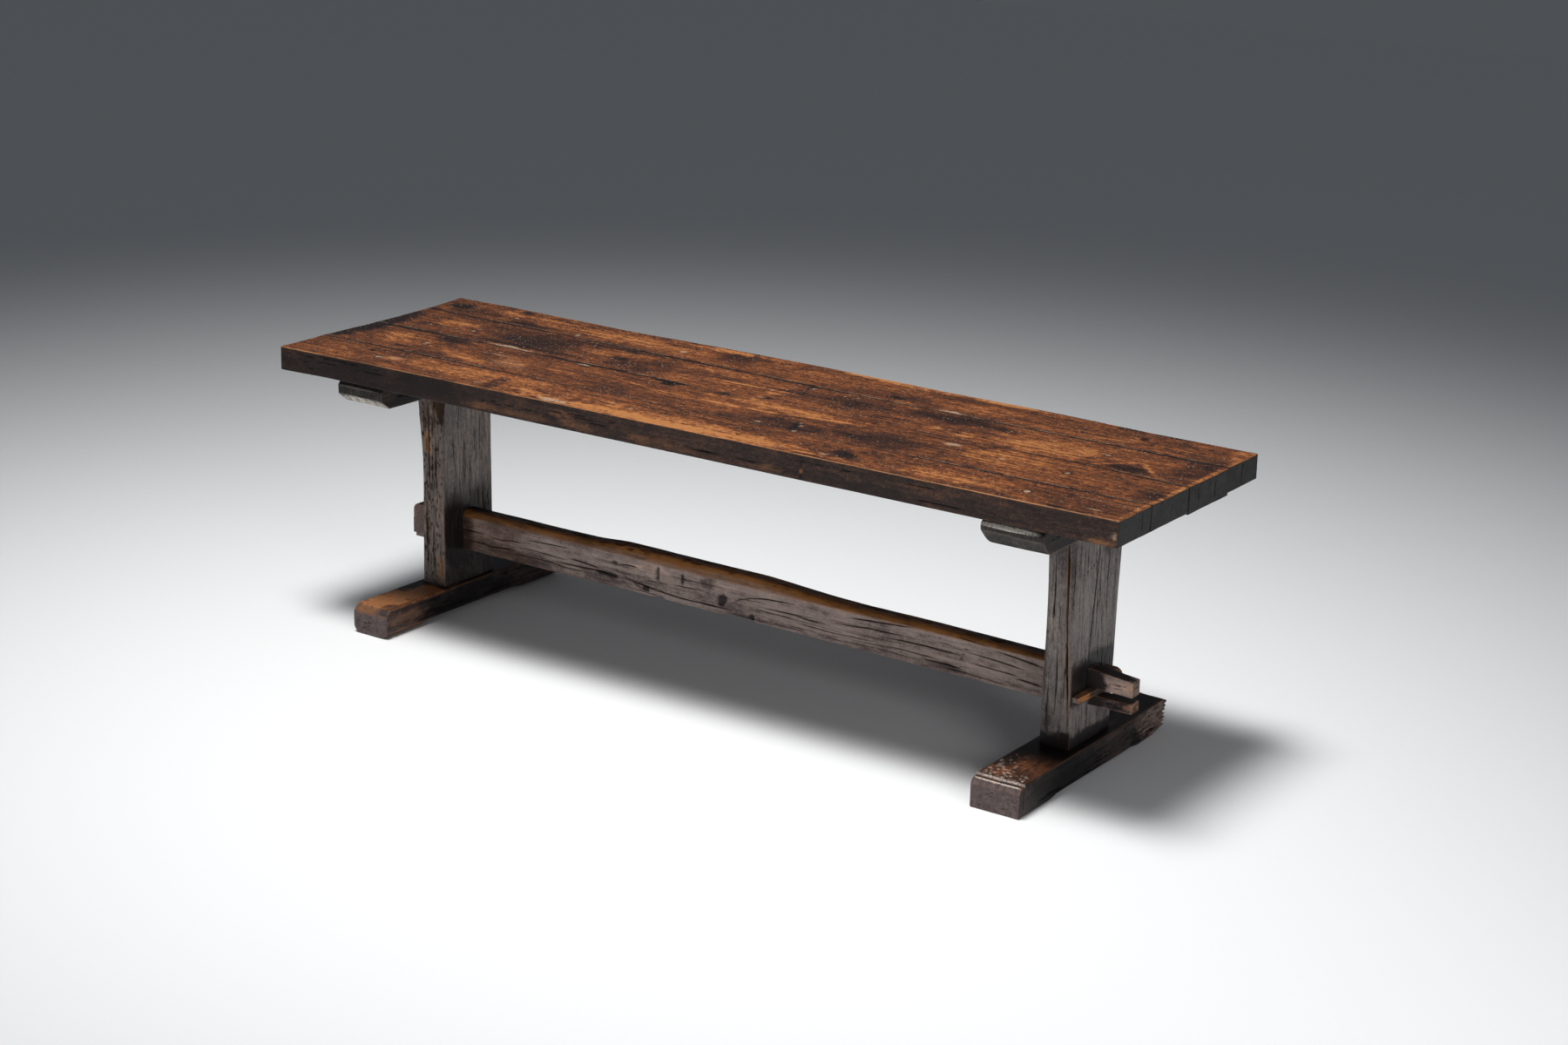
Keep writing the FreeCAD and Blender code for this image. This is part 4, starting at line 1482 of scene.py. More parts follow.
TOP_MARKS: list[Mark] = [
    # Dark stains, then the places that are rubbed to amber, with the front arris strip brightened into a
    # painted highlight and a painted glow along the rear edge
    *blots(Side.TOP, (
        (-900, 0, 340, 340, -0.1), (-1236, 20, 40, 220, -0.8), (-1180, 300, 40, 30, -0.5),
        (-1050, 20, 210, 13, -0.45), (-950, -12, 60, 22, -0.5), (-1012, -145, 26, 11, -0.6),
        (-760, 120, 150, 60, -0.5), (-800, 52, 110, 15, -0.5), (-640, 55, 70, 20, -0.35),
        (-480, 115, 28, 20, -0.6), (-560, 195, 135, 12, -0.45), (-880, 250, 100, 14, -0.5),
        (-1120, 285, 110, 40, -0.2), (-980, 340, 22, 20, -0.7), (-510, 3, 40, 16, -0.5),
        (-563, -283, 20, 76, -0.5, 0, 0, 12), (-1035, -230, 13, 9, -0.8), (-455, -330, 6, 5, -0.9),
        (-300, -300, 17, 22, -0.7), (-230, 290, 60, 40, -0.4), (-195, 340, 10, 26, -0.5, 0, 0, 25),
        (-380, 100, 90, 70, -0.3), (270, 115, 170, 62, -0.35), (300, 240, 160, 32, -0.35),
        (310, 235, 30, 12, -0.6), (90, 180, 10, 20, -0.8), (100, 120, 9, 12, -0.5),
        (-230, 0, 54, 8, -1.3, 0, 1.4), (-220, -15, 22, 12, -1.0, 0, 1.2), (-50, -10, 22, 16, -0.7),
        (60, 25, 17, 11, -0.8), (230, -150, 220, 40, -0.5), (-250, -150, 220, 40, -0.2),
        (265, -155, 13, 56, -0.4, 0, 0, 22), (250, -235, 60, 20, -0.3), (540, 150, 170, 40, -0.5),
        (495, -125, 120, 62, -0.45), (735, -15, 14, 60, -0.4, 0, 0, -40),
        (495, -286, 44, 22, -0.75, 0, 0, -32), (1100, -285, 150, 50, -0.25), (1200, 95, 48, 92, -0.4),
        (1215, -140, 36, 50, -0.4), (920, 345, 36, 9, -0.7), (1050, 348, 56, 8, -0.7),
        (1085, -340, 30, 8, -0.7), (-1060, -75, 110, 58, 0.4), (-1100, -45, 50, 26, 0.3),
        (-870, -105, 84, 30, 0.4, 0, 0, -10), (-780, -142, 76, 22, 0.45, 0, 0, -8),
        (-500, -95, 64, 15, 0.4), (-545, -60, 40, 12, 0.3), (-1075, 150, 70, 42, 0.35),
        (-1010, 165, 60, 30, 0.3), (-960, 95, 60, 30, 0.2), (-560, 140, 84, 26, 0.4),
        (-1010, 320, 50, 30, 0.3), (-700, 300, 250, 52, 0.32), (-560, 285, 120, 44, 0.2),
        # (0, -334) and (-20, -312): the amber strip of the front arris, rubbed wear brightened into a painted
        # highlight
        (-640, -265, 270, 66, 0.35), (-1080, -275, 150, 66, 0.2), (0, -334, 480, 24, 0.7, 0, 0, 0, 0.9),
        (-20, -312, 440, 46, 0.55, 0, 0, 0, 0.9), (900, 0, 330, 330, 0.12), (0, 0, 420, 330, 0.06),
        # (-290, 345), (270, 349) and (570, 347): a painted glow of grazing light along the rear edge
        (-290, 345, 120, 18, 0.6), (-400, 270, 60, 46, 0.2), (270, 349, 200, 14, 1.0),
        (570, 347, 120, 11, 0.85), (520, 270, 130, 38, 0.25), (-170, 165, 130, 18, 0.3),
        (-10, 100, 170, 7, 0.8), (45, 75, 24, 9, 0.7), (-60, 70, 120, 18, 0.2), (150, -35, 270, 26, 0.35),
        (-300, -65, 62, 6, 0.8, 0, 0, -9), (-180, -85, 80, 4, 0.6), (-10, -86, 66, 8, 1.0),
        (115, -81, 56, 6, 1.0), (225, -65, 70, 5, 0.9, 0, 0, 12), (325, -47, 62, 5, 0.8, 0, 0, 9),
        (30, -5, 24, 7, 0.6), (800, -80, 130, 66, 0.3), (770, -290, 140, 38, 0.45),
        (840, 75, 150, 52, 0.45), (535, 55, 30, 13, 0.6), (620, 45, 34, 20, 0.6), (1225, 300, 24, 56, 0.3),
        (1247, 0, 7, 345, 0.7))),
    # Pale chips, then the knot at the right end
    *blots(Side.TOP, (
        (-800, 33, 46, 10, 0.3, 1.0, 1.2), (-735, 25, 36, 5, 0.3, 0.8), (-510, 3, 22, 5, 0.4, 1.0, 0.8),
        (-745, -57, 56, 2.5, 0.5, 0.7), (-760, -33, 7, 4, 0.3, 0.9), (-983, -75, 8, 4, 0.3, 1.0),
        (-975, 130, 6, 4, 0.3, 0.9), (-1070, 90, 6, 4, 0.3, 0.9), (-1120, 90, 5, 3, 0.3, 0.9),
        (-600, -320, 9, 4, 0.3, 0.9), (-210, -260, 9, 4, 0.3, 0.9), (-145, -275, 7, 4, 0.3, 0.9),
        (168, -173, 9, 5, 0.3, 1.0), (-130, -193, 6, 3, 0.3, 0.9),
        (-655, -115, 56, 50, 0.2, 0.12, 0, 0, 0.9), (-930, -262, 26, 18, 0.5, 0.35),
        (-968, -275, 10, 8, 0.2, 0.8), (-385, 272, 8, 10, 0.4, 1.0), (100, 175, 4, 8, 0.3, 0.8),
        (42, 25, 9, 3, 0.4, 0.8), (275, -140, 5, 6, 0.3, 0.9), (288, -190, 5, 8, 0.3, 0.9),
        (258, -118, 4, 4, 0.3, 0.8), (-352, -334, 34, 13, 0.2, 1.3, 1.0),
        (-308, -338, 14, 8, 0.2, 1.2, 0.8), (495, 204, 40, 9, 0.4, 0.9), (540, 57, 8, 4, 0.4, 0.8),
        (645, -46, 24, 11, 0.4, 1.0, 0.8), (800, -80, 10, 5, 0.4, 0.8), (1170, -310, 22, 4, 0.4, 0.7),
        (455, -315, 10, 5, 0.3, 0.9), (-722, 245, 7, 14, 0.2, 0.9, 0, 25), (1068, 36, 80, 42, -0.35),
        (1072, 34, 56, 30, -0.55, 0, 0.8), (1028, 56, 62, 5, 0.7, 0, 0, 43),
        (1118, 52, 60, 6, 0.9, 0, 0, -47), (1060, 2, 66, 5, 0.4))),
    # A scratch, small pits and the splits, most of them from the right end
    *cracks(Side.TOP, 2.0, 0.3, ((-745, 315), (-728, 270), (-710, 225))),
    *cracks(
        Side.TOP, 5.0, 1.4,
        ((-826, 37), (-816, 38)), ((-802, 32), (-794, 31)), ((-786, 28), (-776, 27)),
        ((-486, 5), (-470, 4)), ((-296, -338), (-284, -334)), ((616, -48), (628, -49)),
        ((505, 212), (530, 208))),
    *cracks(Side.TOP, 2.4, 3.0, ((1010, -78), (1130, -80), (1252, -81)), rim=0.5),
    *cracks(Side.TOP, 3.4, 9.0, ((1088, -240), (1170, -240.5), (1256, -241)), rim=0.5),
    *cracks(
        Side.TOP, 1.6, 1.2, ((-1250, 130), (-1050, 128), (-900, 131)), ((300, 60), (480, 57), (640, 60)),
        ((-700, -100), (-480, -104), (-300, -101)), ((560, -150), (760, -147), (960, -150))),
    *cracks(
        Side.RIGHT, 2.6, 6.0, ((-243, 748), (-242, 720), (-243, 694)), ((30, 740), (34, 720), (31, 700)),
        ((120, 742), (118, 715), (121, 692)), ((268, 744), (264, 718), (266, 698))),
    # Wear and checks of the edges and the underside, and three knocks in the front arris
    *blots(Side.FRONT, (
        (-900, 715, 380, 40, -0.45), (-290, 718, 46, 18, 0.5), (-60, 702, 40, 10, 0.4),
        (620, 700, 300, 14, -0.3), (1245, 712, 6, 10, 0.4, 0.9), (-560, 702, 60, 9, 0.3, 0, 0, 0, 0.7, 0.1),
        (-420, 700, 80, 10, 0.3, 0, 0, 0, 0.7, 0.1), (-250, 704, 50, 12, 0.4, 0, 0, 0, 0.7, 0.12),
        (60, 700, 60, 8, 0.3, 0, 0, 0, 0.7, 0.1), (330, 702, 40, 8, 0.3, 0, 0, 0, 0.7, 0.2),
        (1205, 692, 36, 6, 0.3, 0, 0, 0, 0.6, 0.4))),
    *cracks(Side.FRONT, 2.4, 2.0, ((420, 736), (421, 710), (420, 686)), rim=0.8),
    *cracks(Side.FRONT, 1.4, 1.0, ((-1250, 725), (-1120, 726), (-1000, 724))),
    *strays((Side.FRONT, 5, 26, (-1240, 694), (1150, 740), (60, 240), (0.9, 1.8)),
            (Side.BACK, 6, 34, (-1240, 694), (1150, 748), (60, 260), (0.9, 2.2)),
            (Side.UNDER, 7, 70, (-1240, -340), (1100, 340), (120, 420), (1.0, 2.6))),
    Scoop((160, -386.6, 782.6), 45), Scoop((494, -376, 772), 30), Scoop((1118, -447, 842.5), 130)]


@dataclass
class Tabletop:
    """Four wandering boards, edge to edge, with their pegs and the wax lodged in their seams."""

    half: float = 1255.0
    thickness: float = 64.0
    underside: float = 686.0
    board_names: tuple[str, ...] = ("top_board_front", "top_board_mid_front", "top_board_mid_rear",
                                    "top_board_rear")
    left_end: float = -1254.9
    left_step: float = 0.7
    right_ends: tuple[float, ...] = (1254.6, 1254.0, 1254.4, 1251.6)
    arrises: tuple[Pair, ...] = ((4.6, 2.0), (1.6, 1.8), (1.6, 1.8), (1.8, 4.4))
    split_board: str = "top_board_front"
    split_place: float = 112.0
    thick_board: str = "top_board_mid_rear"
    thick_underside: float = 682.0
    front_edge: TopLine = TopLine(
        ((-1255, -353.6), (-900, -354.6), (0, -354.4), (1255, -354.8)),
        ((-1255, -2.4), (-1090, -0.8), (-900, 0), (1255, 0)))
    front_seam: TopLine = TopLine(
        ((-1255, -184), (-1070, -184), (-850, -189), (-450, -196), (0, -200), (450, -201), (850, -199),
         (1255, -199)),
        ((-1255, -1.0), (-900, -0.2), (1255, 0)),
        ((-1255, 0.5), (-1100, 0.7), (-1000, 0.55), (-850, 0.85), (-680, 0.8), (-640, 0.3), (560, 0.35),
         (640, 0.95), (1255, 1.0)))
    middle_seam: TopLine = TopLine(
        ((-1255, 24), (-1100, 27), (-900, 20), (-700, 17), (-500, 14), (-250, 8), (0, 4), (400, 3),
         (900, 2), (1100, -4), (1255, -14)),
        ((-1255, -1.2), (-300, -0.4), (0, 0)),
        ((-1255, 0.6), (-1060, 0.7), (-980, 0.85), (-230, 0.85), (-160, 0.25), (560, 0.15), (800, 0.3),
         (1000, 0.5), (1255, 0.6)))
    rear_seam: TopLine = TopLine(
        ((-1255, 242), (-1150, 231), (-1000, 228), (-850, 227), (-650, 219), (-400, 213), (-150, 204),
         (100, 196), (300, 192), (700, 192), (1255, 191)),
        ((-1255, 2.0), (0, 1.5), (1255, 0)),
        ((-1255, 0.5), (-700, 0.55), (-560, 0.9), (1255, 1.0)))
    rear_edge: TopLine = TopLine(
        ((-1255, 369.0), (0, 361.0), (1255, 352.6)),
        ((-1255, 8.5), (-1077, 9.6), (-931, 8), (-650, 6), (-335, 9.2), (-60, 9.6), (56, 9.2), (390, 5),
         (708, 5), (962, 0.5), (1255, 0)))
    bearer_spans: tuple[Pair, ...] = ((-1064.5, -909.5), (898.0, 1066.0))
    pegs: tuple[Triple, ...] = (
        (-974, -280, 749.4), (-974, -92, 749.0), (-974, 104, 749.2), (-974, 288, 753.8), (982, -280, 749.4),
        (982, -92, 749.4), (982, 104, 749.4), (982, 288, 749.6))
    ring_reach: float = 11.5
    peg_radius: float = 8.0
    peg_depth: float = 100.0
    peg_ragged: float = 0.7
    outer_row: float = 200.0
    wax_step: float = 15.0
    wax_height: float = 749.4
    wax_inset: float = 2.6

    def lines(self) -> list[TopLine]:
        """The lengthwise lines from front to back."""
        return [self.front_edge, self.front_seam, self.middle_seam, self.rear_seam, self.rear_edge]

    def boards(self) -> list[Board]:
        """The four planks.

        Returns:
            Boards from front to back.
        """
        lines = self.lines()
        made = []
        for index, name in enumerate(self.board_names):
            front, rear = lines[index], lines[index + 1]
            width = float(rear.y(np.zeros(1))[0] - front.y(np.zeros(1))[0])
            thick = name == self.thick_board
            made.append(Board(
                name, 21 + 3 * index, 2.0 * self.half, width, self.thickness, front=front, rear=rear,
                fine_across=(self.split_place,) if name == self.split_board else (),
                left_end=self.left_end + self.left_step * index, right_end=self.right_ends[index],
                underside=self.thick_underside if thick else self.underside,
                housings=self.bearer_spans if thick else (),
                front_arris=self.arrises[index][0], rear_arris=self.arrises[index][1]))
        return made

    def marks(self) -> list[Mark]:
        """The marks of the old top, and a dark ring round each peg.

        Returns:
            All marks of the top.
        """
        reach = (self.ring_reach, self.ring_reach)
        rings = [Blot(Side.TOP, (x, y), reach, -0.8, 0.0, 0.9, ragged=0.2) for x, y, _ in self.pegs]
        return TOP_MARKS + rings

    def build(self, finishes: Finishes) -> None:
        """Makes the boards, the pegs and the lodged wax.

        Args:
            finishes: The table's finishes.
        """
        marks = self.marks()
        box = node_box(*self.board_names)
        for board in self.boards():
            surface = board.shape(marks, box)
            dress(surface, f"{board.name}_worn", (board.name,), FRAME_BODY, finishes.top)
        self.peg_heads(finishes)
        self.lodged_wax(finishes)

    def peg_heads(self, finishes: Finishes) -> None:
        """Drives eight riven pegs with Geometry Nodes, each a little out of round.

        Args:
            finishes: The table's finishes.
        """
        sizes = {"Radius": self.peg_radius * MM, "Depth": self.peg_depth * MM, "Ragged": self.peg_ragged * MM}
        tree = NodeShop("riven_pegs", sizes)
        shaft = tree.node("GeometryNodeMeshCylinder", {
            "Vertices": 11, "Radius": tree.given("Radius"), "Depth": tree.given("Depth")}, fill_type="NGON")
        placed = tree.node("GeometryNodeInstanceOnPoints", {
            "Points": tree.given("Geometry"), "Instance": shaft.outputs["Mesh"],
            "Rotation": tree.random((-0.03, -0.03, 0.0), (0.03, 0.03, 6.28), 4),
            "Scale": tree.random((0.86, 0.82, 1.0), (1.06, 1.04, 1.0), 9)})
        real = tree.node("GeometryNodeRealizeInstances", {0: placed.outputs[0]})
        jolt = tree.node("ShaderNodeVectorMath", {
            0: tree.random((-1.0, -1.0, -0.5), (1.0, 1.0, 0.5), 11), "Scale": tree.given("Ragged")},
            operation="SCALE")
        moved = tree.node("GeometryNodeSetPosition", {"Geometry": real.outputs[0], "Offset": jolt.outputs[0]})
        seeds = [(x * MM, y * MM, z * MM - 0.5 * sizes["Depth"]) for x, y, z in self.pegs]
        pegs = tree.grow("top_pegs_riven", seeds, [], moved.outputs[0], finishes.peg)
        places = np.zeros(3 * len(pegs.data.vertices), np.float32)
        pegs.data.vertices.foreach_get("co", places)
        x, y = places[0::3], places[1::3]
        rear_right = (x > 0.0) & (y > self.outer_row * MM)
        looks = {"upper": np.ones(len(x)), "tone": np.where(rear_right, -1.6, 0.2),
                 "pale": np.where(rear_right, 0.0, np.where(y < -self.outer_row * MM, 0.9, 0.35))}
        for label, values in looks.items():
            marks = pegs.data.attributes.new(label, "FLOAT", "POINT")
            marks.data.foreach_set("value", values.astype(np.float32))
        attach(pegs, FRAME_BODY)
        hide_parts("left_top_pegs", "right_top_pegs")
        LOG.info("%s: %d faces", pegs.name, len(pegs.data.polygons))

    def lodged_wax(self, finishes: Finishes) -> None:
        """Scatters crumbs of old wax along the seams with Geometry Nodes.

        Args:
            finishes: The table's finishes.
        """
        runs = ((self.front_seam, -1250, -1040), (self.front_seam, -860, -670), (self.front_seam, 930, 1252),
                (self.rear_seam, -470, 1250), (self.middle_seam, -1240, -860), (self.front_seam, -400, 300))
        points: list[Triple] = []
        edges: list[tuple[int, int]] = []
        for line, start, end in runs:
            x = np.arange(start, end + 1.0, self.wax_step)
            y, z = line.y(x) + self.wax_inset, self.wax_height + line.rise(x)
            first = len(points)
            points += [(a * MM, b * MM, c * MM) for a, b, c in zip(x, y, z)]
            edges += [(first + k, first + k + 1) for k in range(len(x) - 1)]
        tree = NodeShop("lodged_wax", {"Spacing": 0.0045, "Crumb": 0.0015, "Share": 0.56})
        curve = tree.node("GeometryNodeMeshToCurve", {"Mesh": tree.given("Geometry")})
        spots = tree.node("GeometryNodeCurveToPoints", {
            "Curve": curve.outputs[0], "Length": tree.given("Spacing")}, mode="LENGTH")
        spread = tree.node("ShaderNodeTexNoise", {"Scale": 22.0})
        gone = tree.node("FunctionNodeCompare", {0: spread.outputs[0], 1: tree.given("Share")},
                         data_type="FLOAT", operation="LESS_THAN")
        kept = tree.node("GeometryNodeDeleteGeometry", {
            "Geometry": spots.outputs["Points"], "Selection": gone.outputs[0]}, domain="POINT")
        crumb = tree.node("GeometryNodeMeshIcoSphere", {"Subdivisions": 1, "Radius": tree.given("Crumb")})
        placed = tree.node("GeometryNodeInstanceOnPoints", {
            "Points": kept.outputs[0], "Instance": crumb.outputs["Mesh"],
            "Rotation": tree.random((0.0, 0.0, 0.0), (6.2, 6.2, 6.2), 3),
            "Scale": tree.random((0.5, 0.4, 0.3), (1.7, 0.9, 0.55), 8)})
        wax = tree.grow("seam_wax", points, edges, placed.outputs[0], finishes.crumb)
        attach(wax, FRAME_BODY)
        LOG.info("%s: %d faces", wax.name, len(wax.data.polygons))


class NodeShop(NodeTree):
    """A Geometry Nodes tree with named sizes, that ends in real geometry with a material."""

    def __init__(self, name: str, sizes: dict[str, float]) -> None:
        """Starts the tree, with an input for each size.

        Args:
            name: Name of the tree.
            sizes: Its inputs, in metres or as a share.
        """
        super().__init__(bpy.data.node_groups.new(name, "GeometryNodeTree"))
        face = self.tree.interface
        face.new_socket("Geometry", in_out="INPUT", socket_type="NodeSocketGeometry")
        face.new_socket("Geometry", in_out="OUTPUT", socket_type="NodeSocketGeometry")
        self.sizes: dict[str, float] = {}
        for label, value in sizes.items():
            socket = face.new_socket(label, in_out="INPUT", socket_type="NodeSocketFloat")
            self.sizes[socket.identifier] = value
        self.start = self.node("NodeGroupInput")

    def given(self, label: str) -> Socket:
        """The tree's own input of that name."""
        return self.start.outputs[label]

    def random(self, low: Triple, high: Triple, seed: int) -> Socket:
        """A random vector from low to high, with a fixed seed."""
        return self.node("FunctionNodeRandomValue", {0: low, 1: high, "Seed": seed},
                         data_type="FLOAT_VECTOR").outputs[0]

    def grow(self, name: str, points: list[Triple], edges: list[tuple[int, int]], last: Socket,
             material: bpy.types.Material) -> bpy.types.Object:
        """Runs the tree on some points and keeps the result as a plain mesh.

        Args:
            name: Name of the piece.
            points: Places that it grows from, in metres.
            edges: Pairs of point numbers.
            last: Socket that carries the finished instances.
            material: Finish of the result.

        Returns:
            The piece.
        """
        real = self.node("GeometryNodeRealizeInstances", {0: last})
        painted = self.node("GeometryNodeSetMaterial", {"Geometry": real.outputs[0], "Material": material})
        self.node("NodeGroupOutput", {0: painted.outputs[0]})
        base = bpy.data.meshes.new(f"{name}_places")
        base.from_pydata(points, edges, [])
        source = linked(f"{name}_places", base)
        modifier = source.modifiers.new("shape", "NODES")
        modifier.node_group = self.tree
        for identifier, value in self.sizes.items():
            modifier[identifier] = value
        graph = bpy.context.evaluated_depsgraph_get()
        mesh = bpy.data.meshes.new_from_object(source.evaluated_get(graph))
        source.modifiers.remove(modifier)
        bpy.data.objects.remove(source)
        mesh.name = name
        return linked(name, mesh)


@dataclass
class Trestle:
    """One end support: a bearer, a post and a foot."""

    side: str
    bearer: Bearer
    post: Post
    foot: Foot
    bearer_marks: list[Mark]
    post_marks: list[Mark]
    foot_marks: list[Mark]

    def build(self, finishes: Finishes) -> None:
        """Makes the three timbers.

        Args:
            finishes: The table's finishes.
        """
        rows = ((self.bearer, self.bearer_marks, "bearer", finishes.bearer),
                (self.post, self.post_marks, "post", finishes.post),
                (self.foot, self.foot_marks, "foot", finishes.foot))
        for timber, marks, kind, finish in rows:
            node = f"{self.side}_{kind}"
            surface = timber.shape(marks, node_box(node))
            dress(surface, f"{node}_worn", (node,), FRAME_BODY, finish)


def bearer_checks(seed: int) -> list[Mark]:
    """Checks strewn over both long sides of a bearer."""
    stretch = (16, (-320, 632), (240, 676), (40, 160), (1.0, 2.2))
    return strays((Side.RIGHT, seed, *stretch), (Side.LEFT, seed + 1, *stretch))


# The checks, then a painted highlight along the top arris of the near nose
RIGHT_BEARER_MARKS = bearer_checks(19) + blots(Side.FRONT, ((968, 672, 74, 5.0, 0.8, 2.2, 0, 0, 0.15),))
RIGHT_POST_MARKS: list[Mark] = [
    *cracks(Side.FRONT, 6.4, 9.0, ((1003, 600), (1005, 520), (1007, 400), (1013, 270), (1022, 130)), rim=0.7),
    *cracks(
        Side.FRONT, 3.8, 5.0,
        ((970, 560), (972, 470), (969, 380)), ((985, 330), (987, 240), (984, 150)),
        ((966, 240), (964, 180), (966, 110))),
    *cracks(Side.RIGHT, 7.0, 6.0, ((12, 600), (10, 540), (2, 470), (-9, 390), (-24, 270))),
    *cracks(
        Side.RIGHT, 3.6, 4.0,
        ((24, 540), (18, 470), (25, 410)), ((60, 600), (57, 480), (60, 360)),
        ((-60, 590), (-63, 470), (-58, 350)), ((-40, 280), (-42, 200), (-40, 110)),
        ((45, 300), (48, 220), (45, 130))),
    *strays((Side.RIGHT, 12, 34, (-92, 90), (95, 520), (40, 150), (1.8, 3.8)),
            (Side.LEFT, 13, 34, (-92, 90), (100, 520), (40, 170), (1.2, 2.8)),
            (Side.FRONT, 14, 10, (955, 90), (1022, 520), (40, 140), (1.2, 2.4)),
            (Side.BACK, 15, 18, (955, 90), (1022, 520), (40, 160), (1.1, 2.6)), upright=True),
    *blots(Side.FRONT, (
        (988, 86, 110, 30, -0.9), (965, 150, 12, 40, -0.4), (1000, 560, 30, 70, -0.3),
        (975, 420, 16, 120, 0.3), (1012, 300, 4, 60, 0.0, 0, 0, 0, 0.6, 0.35))),
    # The broad stain round the fork and the darker foot of the post come first
    *blots(Side.RIGHT, (
        (10, 226, 260, 40, -1.3), (10, 240, 260, 52, -0.7), (34, 262, 76, 34, -1.5), (0, 86, 200, 24, -1.2),
        (70, 560, 40, 40, -0.3), (0, 150, 160, 36, 0.1), (20, 430, 90, 120, 0.1))),
    *cracks(Side.RIGHT, 2.0, 0.5, ((-80, 500), (-30, 512), (20, 530)), rim=0.25)]
RIGHT_FOOT_MARKS: list[Mark] = [
    # Wear on the upper face, and the two pale lines beside the bead, which are painted highlights
    *blots(Side.TOP, (
        (1000, -250, 44, 46, 0.25), (945, -270, 6, 18, 0.2, 0.3), (989, 260, 80, 120, -0.9),
        (989, -130, 80, 50, -0.9), (1044, 10, 24, 150, -1.0), (940, -220, 26, 70, -0.4),
        (989, -357.5, 70, 2.6, 0.3, 1.7), (989, -345, 70, 1.8, 0.3, 1.0))),
    *Scatter(Side.TOP, 51, 46, (934, -344), (1040, -290)).crumbs(),
    *Scatter(Side.TOP, 52, 34, (932, -310), (985, -190)).crumbs(),
    *cracks(Side.TOP, 2.6, 0.6, ((900, -351), (1078, -351)), ((900, -340), (1078, -340)), rim=0.3),
    *blots(Side.RIGHT, (
        # (300, 44) lightens the far end of the outer side: painted light on a face that stands in shade
        (240, 40, 130, 44, -0.2), (300, 44, 80, 46, 0.9, 0.22), (-60, 40, 140, 60, -0.3),
        (-190, 40, 170, 50, -0.45))),
    *strays((Side.RIGHT, 49, 22, (190, 8), (330, 74), (20, 70), (2.0, 4.4)),
            (Side.BACK, 50, 14, (930, 8), (1020, 70), (20, 60), (2.0, 4.0))),
    *cracks(Side.RIGHT, 1.8, 1.5, ((-349, 76), (-349.5, 40), (-349, 6))),
    *strays((Side.RIGHT, 16, 26, (-340, 8), (300, 70), (40, 160), (1.2, 3.0)),
            (Side.LEFT, 17, 24, (-340, 8), (300, 70), (40, 160), (1.2, 3.0)),
            (Side.FRONT, 18, 7, (930, 12), (1010, 50), (20, 50), (0.8, 1.6)))]


def right_trestle() -> Trestle:
    """The right end's timbers, with the foot that has a bead worked across its near end.

    Returns:
        The trestle.
    """
    bearer = Bearer("right_bearer", 41, 676.0, 168.0, 64.0, arris=5.0, centre_x=982.0, nose_rise=34.0,
                    nose_bow=9.0, worn_corner=16.0)
    levels = (PostLevel(80, 989, 82, -97, 102), PostLevel(430, 989.5, 73, -101, 116),
              PostLevel(622, 986, 76, -104, 130))
    post = Post("right_post", 47, 550.0, 220.0, 76.0, levels=levels)
    foot = Foot("right_foot", 53, 733.5, 131.0, 80.0, steps=(2.2, 3.0, 2.4), arris=5.0, end_arris=2.0,
                fine_across=(16.0, 115.0), centre_x=989.0, front_y=-369.5, rotted_from=150.0)
    return Trestle("right", bearer, post, foot, RIGHT_BEARER_MARKS, RIGHT_POST_MARKS, RIGHT_FOOT_MARKS)


LEFT_BEARER_MARKS: list[Mark] = [
    *bearer_checks(39),
    # A painted reflection of the floor lightens the slope of the near nose, with saw lines over it; then a
    # painted highlight along the nose's top arris
    *blots(Side.UNDER, ((-987, -322, 90, 18, 0.5, 0.9, 0, 0, 0.2),)),
    *cracks(Side.UNDER, 1.6, 0.5,
            *(((-1056.0 + 8.0 * k, -338.0), (-1054.0 + 8.0 * k, -306.0)) for k in range(18))),
    *blots(Side.FRONT, ((-995, 670, 70, 2.4, 0.3, 0.35),))]
LEFT_POST_MARKS: list[Mark] = [
    *blots(Side.FRONT, (
        (-965, 475, 14, 38, 0.5, 0, 0.8, 0, 0.8, 0.8), (-948, 350, 80, 400, 0.0, 0, 0, 0, 0.3, 0.1),
        (-934, 300, 7, 60, 0.3, 0, 0.8, 0, 0.8, 0.35), (-924, 125, 11, 40, 0.5, 0, 0, 0, 0.7, 0.75),
        (-950, 560, 30, 50, -0.2, 0.15, 0.8), (-970, 250, 12, 60, -0.3, 0.1, 0.8))),
    *Scatter(Side.FRONT, 31, 150, (-984, 88), (-912, 600)).worm_holes(),
    *blots(Side.RIGHT, (
        (-20, 245, 170, 110, -0.35), (-15, 232, 130, 84, -0.45), (-10, 225, 110, 60, -0.5),
        (3, 105, 160, 60, -0.5), (20, 470, 110, 140, 0.3))),
    *cracks(
        Side.FRONT, 4.6, 6.0,
        ((-962, 610), (-960, 520), (-962, 430), (-958, 330)), ((-935, 500), (-937, 400), (-934, 300)),
        ((-972, 330), (-974, 220), (-971, 110)), ((-948, 260), (-950, 180), (-947, 100))),
    *strays((Side.FRONT, 32, 26, (-980, 90), (-915, 520), (30, 130), (1.6, 3.4)),
            (Side.RIGHT, 33, 44, (-92, 90), (95, 520), (30, 150), (1.6, 3.4)),
            (Side.LEFT, 34, 30, (-92, 90), (95, 520), (30, 150), (1.2, 2.6)),
            (Side.BACK, 35, 16, (-980, 90), (-915, 520), (40, 150), (1.2, 2.6)), upright=True)]
